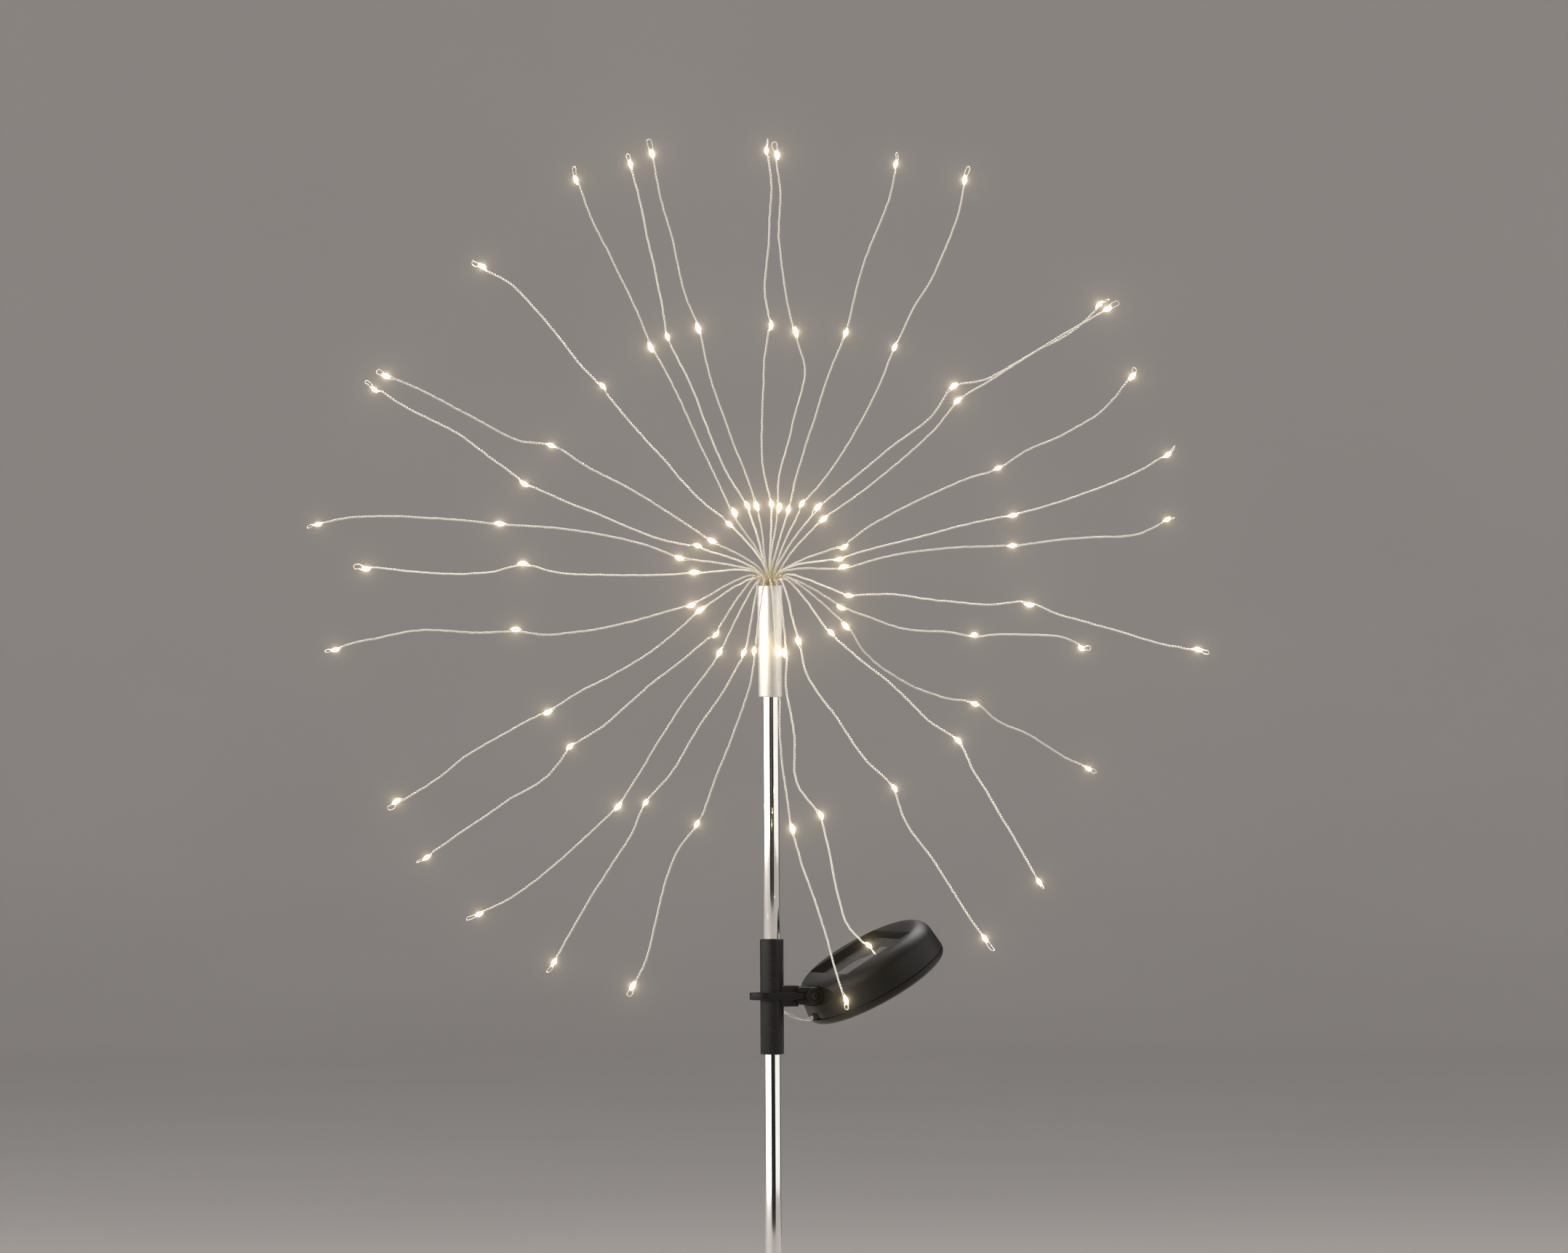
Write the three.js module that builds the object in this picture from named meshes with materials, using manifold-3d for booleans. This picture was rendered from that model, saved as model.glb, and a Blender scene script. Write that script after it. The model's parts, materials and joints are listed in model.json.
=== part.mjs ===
// Solar firework stake light: a steel pole on a ground spike, a burst of thirty stiff LED
// wires in a ferrule at its top, and a round solar housing on a tilting bracket.
// Millimetres, +Z up. The origin is on the pole's axis at ground level, under the spike's flange.

import * as THREE from "three";
import { mergeVertices } from "three/addons/utils/BufferGeometryUtils.js";
import Module from "manifold-3d";

const wasm = await Module();
wasm.setup();

// ---- driving dimensions ----------------------------------------------------------------

const GAP = 0.3; // between pieces that touch
const ROUND = 32; // facets of an ordinary round piece

const TUBE_R = 4; // steel tube
const TUBE_BORE_R = 3.4;
const SOCKET_FLOOR_Z = 5; // the lower tube stands here, inside the spike
const JOIN_LOW_Z = 181; // the lower tube ends here, inside the sleeve
const JOIN_HIGH_Z = 192; // the upper tube starts here
const MOUTH_Z = 392; // ferrule mouth, where the LED wires leave

const SPIKE_DEPTH = 170;
const SPIKE_HALF_WIDTH = 11;
const SPIKE_RIB = 3;
const FLANGE_R = 17;
const SOCKET_TOP_Z = 32;

const SLEEVE_R = 5.75;
const SLEEVE_LOW_Z = 164;
const SLEEVE_HIGH_Z = 220;
const LEAD_HOLE_Z = 187;
const LEAD_HOLE_TURN = THREE.MathUtils.degToRad(118);
const LEAD_R = 0.8;

const FERRULE_LENGTH = 54;
const FERRULE_TOP_R = 5.9;
const FERRULE_LOW_R = 5.55;
const FERRULE_BORE_R = 4.9;
const PLUG_DEPTH = 4; // the potting's face lies this far below the mouth
const PLUG_LENGTH = 19.5;

const HINGE_Z = 192.3; // tilt axis
const ARM_TURN = THREE.MathUtils.degToRad(22.5); // the arm's direction, from +X towards +Y
const HINGE_REACH = 19; // tilt axis from the pole's axis
const TILT = THREE.MathUtils.degToRad(30.5); // the housing's rise from level
const EAR_R = 4.3;
const EAR_OUTER = 8; // outer face of each ear from the arm's middle
const EAR_PAD = 1.5; // the round pad round the screw stands this far out from the near ear
const TONGUE_HALF = 4.6;
const SCREW_R = 1.5;
const HEAD_R = 2.1;
const HEAD_RECESS_R = 2.3;
const HEAD_RECESS = 1.5;

const BAND_HEIGHT = 3.6;
const BAND_THICK = 0.9;
const BAND_OFFSET = 6.6; // middle of each run from the arm's middle
const BAND_END = 14; // where the runs stop, in the bracket's side slots
const BAND_LOOP_X = -4.2; // centre of the round end, behind the pole

const HOUSING_R = 37;
const HOUSING_OUT = 34; // housing's centre from the tilt axis, along the housing
const PARTING = -12.1; // parting plane from the tilt axis, along the housing's normal
const TOP_FACE = 4.1;
const WALL = 2;
const SHOULDER_R = 8;
const SHELL_LEAN = 0.9; // how much narrower the shell is at its shoulder
const BASE_DEPTH = 4.5;
const HINGE_ROOM_R = 4.8; // the shell is bored across, round the ears
const HINGE_WALL = 1.8; // left round that bore
const ARM_ROOM = 8.6; // half the width that is cut away for the bracket
const TILT_DOWN = 31; // how far the bracket may swing in that cut, in degrees
const TILT_UP = 8;
const FLAT_DEPTH = 1.2; // how far the flat below the hinge lies inside the rim
const FLAT_HALF = 10.5;

const WINDOW_LONG = 47; // across the arm
const WINDOW_WIDE = 39; // along the arm
const WINDOW_DEPTH = 3.6;

const BATTERY_R = 5.25; // AAA cell
const BATTERY_LENGTH = 44.5;
const BATTERY_X = -13;
const BATTERY_Z = -8.7;

const LED_PITCH = 91;
const FIRST_LED = 45.5; // mouth to the first LED
const LED_R = 1.5;
const LED_LENGTH = 8;
const WIRE_R = 0.5;
const WIRE_SIDES = 5;
const TAIL = 7; // from the last LED to the wire's end
const BOW_PLACES = [0.2, 0.5, 0.8]; // where a stretch between two LEDs bows, along it
const ROOT_RISE = 1.8; // how far a wire stands straight above the mouth
const ROOT_OUT = 6; // how far the most level wire has gone outwards at its first bend
const BEND_RISE = 6; // that bend above the mouth, for a level wire
const BEND_FOLLOW = 0.12; // and how much of its first LED's height it gains

// One row for each LED wire, clockwise from straight up as the front shows them: the side of
// the pole that it leans to (-1 front, 1 back), then the heading in degrees and the reach in
// mm of its first, middle and last LED, as the front view shows them from the ferrule's mouth.
// The last six are how far the wire bows to its left, in mm, at three places between the first
// two LEDs and at three between the last two.
const WIRES = [
  [1, 1, 40, 0, 129, 0, 215, 3.5, 3.5, 2, 1.5, -0.5, -1.5],
  [-1, 6, 37, 6, 122, 1, 207, 0.5, -3.5, -6.5, 2, 2.5, -0.5],
  [1, 14, 39, 17, 129, 17, 216, 1.5, 1.5, 1.5, 1, 1, -1.5],
  [-1, 23, 42, 28, 131, 26, 217, -2.5, -4, -2.5, -1, -4, -3.5],
  [1, 32, 44, 43, 132, 50, 213, -0.5, -1.5, -3.5, -4.5, -4, -4],
  [-1, 39, 41, 46, 128, 51, 210, -2, -3, -2.5, 0.5, 0.5, 0.5],
  [1, 61, 41, 63, 125, 60, 206, 2.5, 3, 2.5, -1, -5.5, -5.5],
  [-1, 69, 36, 74, 121, 72, 200, 0.5, 0.5, 0.5, -2, -3.5, -3],
  [1, 77, 38, 81, 122, 81, 198, 2.5, 3.5, 2, 0, -2, -4],
  [-1, 97, 38, 94, 125, 99, 208, 1, -1, -2, -1.5, -1.5, -1.5],
  [1, 106, 37, 104, 104, 101, 159, -2.5, -4, -1, 1.5, 3, 3],
  [1, 118, 42, 120, 116, 120, 182, -6.5, -9, -5.5, -2, -0.5, -1],
  [-1, 129, 38, 130, 118, 138, 190, 0, 0.5, -1.5, -0.5, 0, 0],
  [-1, 153, 31, 149, 113, 149, 199, -5.5, -4.5, -3.5, -3, -1.5, -1],
  [-1, 166, 33, 168, 113, 165, 179, -3.5, -4.5, -7.5, -1, -4.5, -5.5],
  [-1, 174, 32, 175, 118, 170, 201, -0.5, -2, -1.5, -0.5, 0.5, 0],
  [-1, 193, 32, 197, 119, 199, 203, 3, 2.5, 1, -4.5, -3, 0.5],
  [-1, 201, 35, 210, 121, 210, 209, 1.5, 1.5, 2.5, 1.5, 0, -0.5],
  [1, 217, 41, 215, 131, 222, 216, -0.5, -1, 0, 2, 4, 3.5],
  [-1, 230, 35, 231, 123, 232, 210, 0.5, 0.5, 1.5, 4, 2, 1],
  [1, 251, 36, 241, 125, 240, 212, 2.5, 3.5, 1, -1.5, -2, 0],
  [-1, 257, 39, 260, 125, 262, 210, 2.5, 5, 4, -1, -4.5, -3],
  [1, 280, 37, 275, 122, 273, 201, 1.5, 3, 2.5, 3, 3.5, 1.5],
  [-1, 288, 45, 283, 134, 278, 220, -3, -4, -2.5, -2, -3.5, -3.5],
  [1, 298, 41, 293, 130, 297, 217, 2.5, 2, 1, -1.5, -2.5, 0],
  [-1, 308, 34, 303, 124, 299, 209, -0.5, -1.5, 0, 4, 2, 0],
  [1, 327, 37, 320, 127, 318, 212, 2.5, 2, 1.5, -1, -4, -4.5],
  [-1, 333, 39, 334, 129, 335, 217, -0.5, -0.5, -1, -0.5, 0.5, 1.5],
  [1, 344, 41, 338, 131, 342, 218, 2, 1, -0.5, -0.5, -0.5, -0.5],
  [-1, 351, 40, 345, 129, 345, 216, 0.5, 2, 2, 2.5, 1.5, 1],
];
// Rings of wires in the mouth, from the outside in: the radius and how many stand on it.
const ROOT_RINGS = [[4.15, 13], [2.75, 10], [1.4, 6], [0, 1]];

// ---- solids ----------------------------------------------------------------------------

function solid(geometry) {
  const bare = geometry.clone();
  bare.deleteAttribute("normal");
  bare.deleteAttribute("uv");
  const merged = mergeVertices(bare, 1e-4);
  const index = merged.index.array;
  const triangles = [];
  for (let i = 0; i < index.length; i += 3) {
    const [a, b, c] = [index[i], index[i + 1], index[i + 2]];
    if (a !== b && b !== c && c !== a) triangles.push(a, b, c);
  }
  return new wasm.Manifold(new wasm.Mesh({
    numProp: 3,
    vertProperties: new Float32Array(merged.attributes.position.array),
    triVerts: new Uint32Array(triangles),
  }));
}

function geometryOf(manifold) {
  const mesh = manifold.getMesh();
  const geometry = new THREE.BufferGeometry();
  geometry.setAttribute("position", new THREE.BufferAttribute(mesh.vertProperties, 3));
  geometry.setIndex(new THREE.BufferAttribute(mesh.triVerts, 1));
  geometry.computeVertexNormals();
  return geometry;
}

function box(x0, x1, y0, y1, z0, z1) {
  const geometry = new THREE.BoxGeometry(x1 - x0, y1 - y0, z1 - z0);
  geometry.translate((x0 + x1) / 2, (y0 + y1) / 2, (z0 + z1) / 2);
  return solid(geometry);
}

function disc(radius, z0, z1, sides = ROUND, topRadius = radius) {
  const geometry = new THREE.CylinderGeometry(topRadius, radius, z1 - z0, sides);
  geometry.rotateX(Math.PI / 2);
  geometry.translate(0, 0, (z0 + z1) / 2);
  return solid(geometry);
}

// A cylinder along Y, for hinge pieces.
function barrel(radius, y0, y1, sides = ROUND) {
  const geometry = new THREE.CylinderGeometry(radius, radius, y1 - y0, sides);
  geometry.translate(0, (y0 + y1) / 2, 0);
  return solid(geometry);
}

// Turns an outline of [radius, height] points about Z. It starts and ends on the axis, or
// it is a ring's outline, which closes on itself.
function revolve(outline, sides = ROUND) {
  const geometry = new THREE.LatheGeometry(outline.map(([r, z]) => new THREE.Vector2(r, z)), sides);
  geometry.rotateX(Math.PI / 2);
  return solid(geometry);
}

// A quarter round from one angle to another, as [radius, height] points.
function arc(centreR, centreZ, radius, from, to, steps) {
  const points = [];
  for (let i = 0; i <= steps; i += 1) {
    const angle = THREE.MathUtils.degToRad(from + ((to - from) * i) / steps);
    points.push([centreR + radius * Math.cos(angle), centreZ + radius * Math.sin(angle)]);
  }
  return points;
}

// A tube along a curve. Its rings at the given centres swell to an LED's radius.
function sweep(curve, radius, sides, steps, swellings = []) {
  const ring = [];
  for (let i = 0; i < sides; i += 1) {
    const angle = (2 * Math.PI * i) / sides;
    ring.push(new THREE.Vector2(radius * Math.cos(angle), radius * Math.sin(angle)));
  }
  const geometry = new THREE.ExtrudeGeometry(new THREE.Shape(ring), { steps, extrudePath: curve });
  const corners = geometry.attributes.position;
  const corner = new THREE.Vector3();
  for (let i = 0; i < corners.count; i += 1) {
    corner.fromBufferAttribute(corners, i);
    const centre = swellings.find((place) => corner.distanceTo(place) < radius * 1.2);
    if (centre) {
      corner.sub(centre).setLength(LED_R).add(centre);
      corners.setXYZ(i, corner.x, corner.y, corner.z);
    }
  }
  return solid(geometry);
}

// A flat outline of [x, y] points, standing from z0 to z1.
function plate(outline, z0, z1) {
  const shape = new THREE.Shape(outline.map(([x, y]) => new THREE.Vector2(x, y)));
  const geometry = new THREE.ExtrudeGeometry(shape, { depth: z1 - z0, bevelEnabled: false });
  geometry.translate(0, 0, z0);
  return solid(geometry);
}

// ---- materials -------------------------------------------------------------------------

function material(color, roughness, metalness) {
  return new THREE.MeshStandardMaterial({ color, roughness, metalness });
}

const POLISHED = material(0xd5d3cf, 0.12, 1);
const SATIN = material(0xc4c1ba, 0.35, 1);
const BLACK_PLASTIC = material(0x26272a, 0.62, 0);
const BLACK_SCREW = material(0x17181a, 0.35, 0.8);
const RUBBER = material(0x1a1a1b, 0.85, 0);
const POTTING = material(0xd9d4c6, 0.5, 0);
const SOLAR = material(0x1c1a20, 0.2, 0.1);
const CLEAR = material(0xdfe4e6, 0.05, 0);
const BOARD = material(0x1f6b3a, 0.5, 0);
const CELL = material(0x3f8f4d, 0.4, 0);
const SPRING_STEEL = material(0xb9bbbd, 0.3, 1);
const SCREW_STEEL = material(0xaeb1b4, 0.3, 1);
const LEAD = material(0xcfc9bb, 0.4, 0.2);
const WIRE = material(0xd8d2c2, 0.3, 0.6);

const group = new THREE.Group();
const arm = new THREE.Group();
const housing = new THREE.Group();
const puck = new THREE.Group();
group.add(arm);
arm.add(housing);
housing.add(puck);
arm.position.z = HINGE_Z;
arm.rotation.z = ARM_TURN;
housing.position.x = HINGE_REACH;
housing.rotation.y = -TILT;
puck.position.x = HOUSING_OUT;

function add(parent, name, manifold, look) {
  const mesh = new THREE.Mesh(geometryOf(manifold), look);
  mesh.name = name;
  parent.add(mesh);
  return mesh;
}

// ---- ground spike and pole -------------------------------------------------------------

function groundSpike() {
  const rib = plate([
    [-SPIKE_HALF_WIDTH, 0],
    [-SPIKE_HALF_WIDTH * 0.8, -SPIKE_DEPTH * 0.6],
    [-1, -SPIKE_DEPTH],
    [1, -SPIKE_DEPTH],
    [SPIKE_HALF_WIDTH * 0.8, -SPIKE_DEPTH * 0.6],
    [SPIKE_HALF_WIDTH, 0],
    [SPIKE_HALF_WIDTH, 1],
    [-SPIKE_HALF_WIDTH, 1],
  ], -SPIKE_RIB / 2, SPIKE_RIB / 2).rotate([90, 0, 0]);
  const flange = disc(FLANGE_R, 0, 2.5);
  const socket = disc(8, 2, SOCKET_TOP_Z, ROUND, 6.6);
  const bore = disc(TUBE_R + GAP, SOCKET_FLOOR_Z, SOCKET_TOP_Z + 1);
  return rib.add(rib.rotate([0, 0, 90])).add(flange).add(socket).subtract(bore);
}

function tube(z0, z1) {
  return disc(TUBE_R, z0, z1).subtract(disc(TUBE_BORE_R, z0 - 1, z1 + 1));
}

function poleSleeve() {
  const bevel = 0.5;
  const body = revolve([
    [0, SLEEVE_LOW_Z],
    [SLEEVE_R - bevel, SLEEVE_LOW_Z],
    [SLEEVE_R, SLEEVE_LOW_Z + bevel],
    [SLEEVE_R, SLEEVE_HIGH_Z - bevel],
    [SLEEVE_R - bevel, SLEEVE_HIGH_Z],
    [0, SLEEVE_HIGH_Z],
  ]);
  const lowBore = disc(TUBE_R + GAP, SLEEVE_LOW_Z - 1, JOIN_LOW_Z + GAP);
  const highBore = disc(TUBE_R + GAP, JOIN_HIGH_Z - GAP, SLEEVE_HIGH_Z + 1);
  const stop = disc(TUBE_BORE_R, JOIN_LOW_Z, JOIN_HIGH_Z);
  const leadHole = barrel(LEAD_R + GAP, 0, SLEEVE_R + 1, 12)
    .rotate([0, 0, THREE.MathUtils.radToDeg(LEAD_HOLE_TURN) - 90])
    .translate([0, 0, LEAD_HOLE_Z]);
  return body.subtract(lowBore).subtract(highBore).subtract(stop).subtract(leadHole);
}

function ferrule() {
  const low = MOUTH_Z - FERRULE_LENGTH;
  const lip = 0.4;
  const body = revolve([
    [0, low],
    [FERRULE_LOW_R - lip, low],
    [FERRULE_LOW_R, low + lip],
    [FERRULE_TOP_R, MOUTH_Z - lip],
    [FERRULE_TOP_R - lip, MOUTH_Z],
    [0, MOUTH_Z],
  ]);
  const plugFloor = MOUTH_Z - PLUG_DEPTH - PLUG_LENGTH - GAP;
  const tubeBore = disc(TUBE_R + GAP, low - 1, plugFloor + 1);
  const wireBore = disc(FERRULE_BORE_R, plugFloor, MOUTH_Z + 1);
  return body.subtract(tubeBore).subtract(wireBore);
}

function wirePlug() {
  const top = MOUTH_Z - PLUG_DEPTH - GAP;
  return disc(FERRULE_BORE_R - GAP, top - PLUG_LENGTH + GAP, top);
}

// The lead inside the pole, from the hole in the sleeve up to the potting.
function innerLead() {
  const start = 2.9;
  const top = MOUTH_Z - PLUG_DEPTH - PLUG_LENGTH - GAP;
  const turn = new THREE.Vector3(Math.cos(LEAD_HOLE_TURN), Math.sin(LEAD_HOLE_TURN), 0);
  const route = new THREE.CatmullRomCurve3([
    turn.clone().multiplyScalar(start).setZ(LEAD_HOLE_Z),
    turn.clone().multiplyScalar(1).setZ(LEAD_HOLE_Z + 1),
    new THREE.Vector3(0, 0, LEAD_HOLE_Z + 5),
    new THREE.Vector3(0.6, -0.5, LEAD_HOLE_Z + 60),
    new THREE.Vector3(-0.5, 0.4, LEAD_HOLE_Z + 120),
    new THREE.Vector3(0, 0, top),
  ], false, "centripetal");
  return sweep(route, LEAD_R, 8, 24);
}

add(group, "ground_spike", groundSpike(), BLACK_PLASTIC);
add(group, "lower_tube", tube(SOCKET_FLOOR_Z + GAP, JOIN_LOW_Z), POLISHED);
add(group, "pole_sleeve", poleSleeve(), BLACK_PLASTIC);
const upperTubeTop = MOUTH_Z - PLUG_DEPTH - PLUG_LENGTH - 2 * GAP;
add(group, "upper_tube", tube(JOIN_HIGH_Z, upperTubeTop), POLISHED);
add(group, "ferrule", ferrule(), SATIN);
add(group, "wire_plug", wirePlug(), POTTING);
add(group, "inner_lead", innerLead(), LEAD);

// ---- bracket that carries the housing ---------------------------------------------------

function clipBand() {
  const inner = BAND_OFFSET - BAND_THICK / 2;
  const outer = BAND_OFFSET + BAND_THICK / 2;
  const loop = (radius) => {
    const points = [];
    for (let i = 0; i <= 16; i += 1) {
      const angle = Math.PI / 2 + (Math.PI * i) / 16;
      points.push([BAND_LOOP_X + radius * Math.cos(angle), radius * Math.sin(angle)]);
    }
    return points;
  };
  const outline = [[BAND_END, outer], ...loop(outer), [BAND_END, -outer]];
  const hollow = [[BAND_END + 1, inner], ...loop(inner), [BAND_END + 1, -inner]];
  const half = BAND_HEIGHT / 2;
  const pinHole = disc(0.35, 0, outer + 2, 8).rotate([90, 0, 0]).translate([BAND_LOOP_X - 1.6, 0, 0]);
  return plate(outline, -half, half).subtract(plate(hollow, -half - 1, half + 1)).subtract(pinHole);
}

function clipBracket() {
  const saddleHalf = 5.4;
  const saddleTall = 5.15;
  const blockStart = 10.3;
  const blockEnd = HINGE_REACH - 4.9;
  const corner = 2.2;
  const slotHalf = BAND_HEIGHT / 2 + GAP;
  const slotFloor = BAND_OFFSET - BAND_THICK / 2 - GAP;
  const saddle = box(2, 12, -saddleHalf, saddleHalf, -saddleTall, saddleTall);
  const roundEnd = (z) => barrel(corner, -EAR_OUTER, EAR_OUTER, 24)
    .translate([blockStart + corner, 0, z * (EAR_R - corner)]);
  const block = box(blockStart, blockEnd, -EAR_OUTER, EAR_OUTER, corner - EAR_R, EAR_R - corner)
    .add(box(blockStart + corner, blockEnd, -EAR_OUTER, EAR_OUTER, -EAR_R, EAR_R))
    .add(roundEnd(-1))
    .add(roundEnd(1));
  const slot = box(0, BAND_END + GAP, slotFloor, EAR_OUTER + 1, -slotHalf, slotHalf);
  const inner = TONGUE_HALF + GAP;
  const cheek = box(blockEnd - 0.5, HINGE_REACH, inner, EAR_OUTER, -EAR_R, EAR_R);
  const side = barrel(EAR_R, inner, EAR_OUTER).translate([HINGE_REACH, 0, 0]).add(cheek);
  const pad = barrel(EAR_R, -EAR_OUTER - EAR_PAD, -EAR_OUTER + 0.5).translate([HINGE_REACH, 0, 0]);
  const sleeve = disc(SLEEVE_R + GAP, -20, 20, 48);
  const screwHole = barrel(SCREW_R + GAP, -20, 20, 20).translate([HINGE_REACH, 0, 0]);
  const headFloor = -EAR_OUTER - EAR_PAD + HEAD_RECESS;
  const headHole = barrel(HEAD_RECESS_R, -20, headFloor, 24).translate([HINGE_REACH, 0, 0]);
  return saddle.add(block).add(side).add(side.mirror([0, 1, 0])).add(pad)
    .subtract(slot).subtract(slot.mirror([0, 1, 0]))
    .subtract(sleeve).subtract(screwHole).subtract(headHole);
}

function hingeScrew() {
  const headLow = -EAR_OUTER - EAR_PAD + 0.15;
  const headHigh = -EAR_OUTER - EAR_PAD + HEAD_RECESS - GAP;
  const shaft = barrel(SCREW_R, headHigh - 0.5, EAR_OUTER + 2.6, 16);
  const head = barrel(HEAD_R, headLow, headHigh, 20);
  const crossLong = box(-1.3, 1.3, headLow - 1, headLow + 0.8, -0.25, 0.25);
  const crossShort = box(-0.25, 0.25, headLow - 1, headLow + 0.8, -1.3, 1.3);
  return shaft.add(head).subtract(crossLong).subtract(crossShort);
}

function hingeNut() {
  const low = EAR_OUTER + GAP;
  return barrel(3.1, low, low + 2, 6).subtract(barrel(SCREW_R + GAP, low - 1, low + 4, 16));
}

add(arm, "clip_band", clipBand(), BLACK_PLASTIC);
add(arm, "clip_bracket", clipBracket(), BLACK_PLASTIC);
add(arm, "hinge_screw", hingeScrew(), BLACK_SCREW).position.x = HINGE_REACH;
add(arm, "hinge_nut", hingeNut(), SCREW_STEEL).position.x = HINGE_REACH;

// ---- solar housing ----------------------------------------------------------------------
// Here x runs outwards along the arm, y across it, and z along the housing's normal.

const HOUSING_SIDES = 48;
const SCREW_RING = 29.5;
const BASE_SCREW_TURNS = [0, 90, 270];
const BUTTON_X = 14;
const BUTTON_R = 3.3;

function shellOutline() {
  const shoulderZ = TOP_FACE - SHOULDER_R;
  const shoulderC = HOUSING_R - SHELL_LEAN - SHOULDER_R;
  return [
    [0, PARTING],
    [HOUSING_R, PARTING],
    ...arc(shoulderC, shoulderZ, SHOULDER_R, 4, 90, 6),
    [0, TOP_FACE],
  ];
}

function shellHollow() {
  const shoulderZ = TOP_FACE - SHOULDER_R;
  const shoulderC = HOUSING_R - SHELL_LEAN - SHOULDER_R;
  return [
    [0, PARTING - 1],
    [HOUSING_R - WALL, PARTING - 1],
    [HOUSING_R - WALL, PARTING],
    ...arc(shoulderC, shoulderZ, SHOULDER_R - WALL, 4, 90, 5),
    [0, TOP_FACE - WALL],
  ];
}

// What the bracket needs to swing in: the bore round the ears and a wedge towards the pole.
function hingeRoom(hingeX) {
  const bore = barrel(HINGE_ROOM_R, -HOUSING_R, HOUSING_R, 40);
  const arm = box(-15, 0, -ARM_ROOM, ARM_ROOM, -HINGE_ROOM_R, HINGE_ROOM_R);
  const tilt = THREE.MathUtils.radToDeg(TILT);
  const wedge = wasm.Manifold.hull([
    arm.rotate([0, tilt - TILT_DOWN, 0]),
    arm.rotate([0, tilt + TILT_UP, 0]),
  ]);
  return bore.add(wedge).translate([hingeX, 0, 0]);
}

function panelTopShell() {
  const hingeX = -HOUSING_OUT;
  const outside = revolve(shellOutline(), HOUSING_SIDES);
  const inside = revolve(shellHollow(), HOUSING_SIDES);
  const x = WINDOW_WIDE / 2;
  const y = WINDOW_LONG / 2;
  const rim = 1.6;
  const ledge = 2;
  const frameFloor = TOP_FACE - 7.1;
  const frame = box(-x - rim, x + rim, -y - rim, y + rim, frameFloor, TOP_FACE - 1);
  const recess = box(-x, x, -y, y, frameFloor + 0.9, TOP_FACE + 1);
  const opening = box(ledge - x, x - ledge, ledge - y, y - ledge, frameFloor - 1, TOP_FACE);
  const wallR = HINGE_ROOM_R + HINGE_WALL;
  const wallFloor = PARTING + 1.2;
  const wall = barrel(wallR, -HOUSING_R, HOUSING_R, 40).translate([hingeX, 0, 0])
    .add(box(hingeX - 10, hingeX + 1.6, -FLAT_HALF, FLAT_HALF, wallFloor, 0))
    .intersect(outside);
  const flatX = FLAT_DEPTH - HOUSING_R;
  const flat = box(flatX - 5, flatX, -FLAT_HALF, FLAT_HALF, PARTING - 1, -1);
  const knuckle = barrel(EAR_R - 0.2, -TONGUE_HALF, TONGUE_HALF)
    .add(box(0, wallR, -TONGUE_HALF, TONGUE_HALF, -EAR_R + 0.4, EAR_R - 1))
    .translate([hingeX, 0, 0]);
  const screwHole = barrel(SCREW_R + GAP, -20, 20, 16).translate([hingeX, 0, 0]);
  let shell = outside.subtract(inside).add(frame).add(wall).subtract(recess).subtract(opening);
  shell = shell.subtract(hingeRoom(hingeX)).subtract(flat).add(knuckle).subtract(screwHole);
  for (const turn of BASE_SCREW_TURNS) {
    const at = screwPlace(turn);
    const boss = disc(2.6, PARTING + 0.6, TOP_FACE - 1, 16).translate(at);
    const pilot = disc(0.9, PARTING - 1, PARTING + 8, 8).translate(at);
    shell = shell.add(boss.intersect(outside)).subtract(pilot);
  }
  const leadNotch = box(-HOUSING_R - 2, -HOUSING_R + 5, -2.3, 2.3, PARTING - 1, PARTING + 3);
  return shell.subtract(leadNotch);
}

function screwPlace(turn) {
  const angle = THREE.MathUtils.degToRad(turn);
  return [SCREW_RING * Math.cos(angle), SCREW_RING * Math.sin(angle), 0];
}

function panelBaseCover() {
  const top = PARTING - GAP;
  const low = PARTING - BASE_DEPTH;
  const round = BASE_DEPTH - GAP;
  const floor = low + 1.6;
  const outside = revolve([
    [0, low],
    ...arc(HOUSING_R - round, top, round, -90, 0, 5),
    [0, top],
  ], HOUSING_SIDES);
  const inside = revolve([
    [0, floor],
    ...arc(HOUSING_R - round, top, round - 1.6, -90, 0, 4),
    [HOUSING_R - 1.8, top + 1],
    [0, top + 1],
  ], HOUSING_SIDES);
  let cover = outside.subtract(inside);
  for (const turn of BASE_SCREW_TURNS) {
    const at = screwPlace(turn);
    cover = cover.add(disc(3, low + 0.5, top + 0.4, 16).translate(at));
    cover = cover.subtract(disc(1.4, low - 1, top + 2, 12).translate(at));
    cover = cover.subtract(disc(2.5, low - 1, low + 1.7, 16).translate(at));
  }
  return cover.subtract(disc(BUTTON_R + GAP, low - 1, floor + 1, 24).translate([BUTTON_X, 0, 0]));
}

function housingSeal() {
  return revolve([
    [33.2, PARTING - 1.3],
    [34.4, PARTING - 1.3],
    [34.4, PARTING + 0.7],
    [33.2, PARTING + 0.7],
    [33.2, PARTING - 1.3],
  ], 48);
}

function baseScrew() {
  const low = PARTING - BASE_DEPTH + 0.4;
  const head = disc(2.2, low, low + 1, 16);
  const shaft = disc(0.9 - GAP, low + 0.9, PARTING + 7, 10);
  const slot = box(-1.3, 1.3, -0.25, 0.25, low - 1, low + 0.7);
  return head.add(shaft).subtract(slot).subtract(slot.rotate([0, 0, 90]));
}

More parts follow.
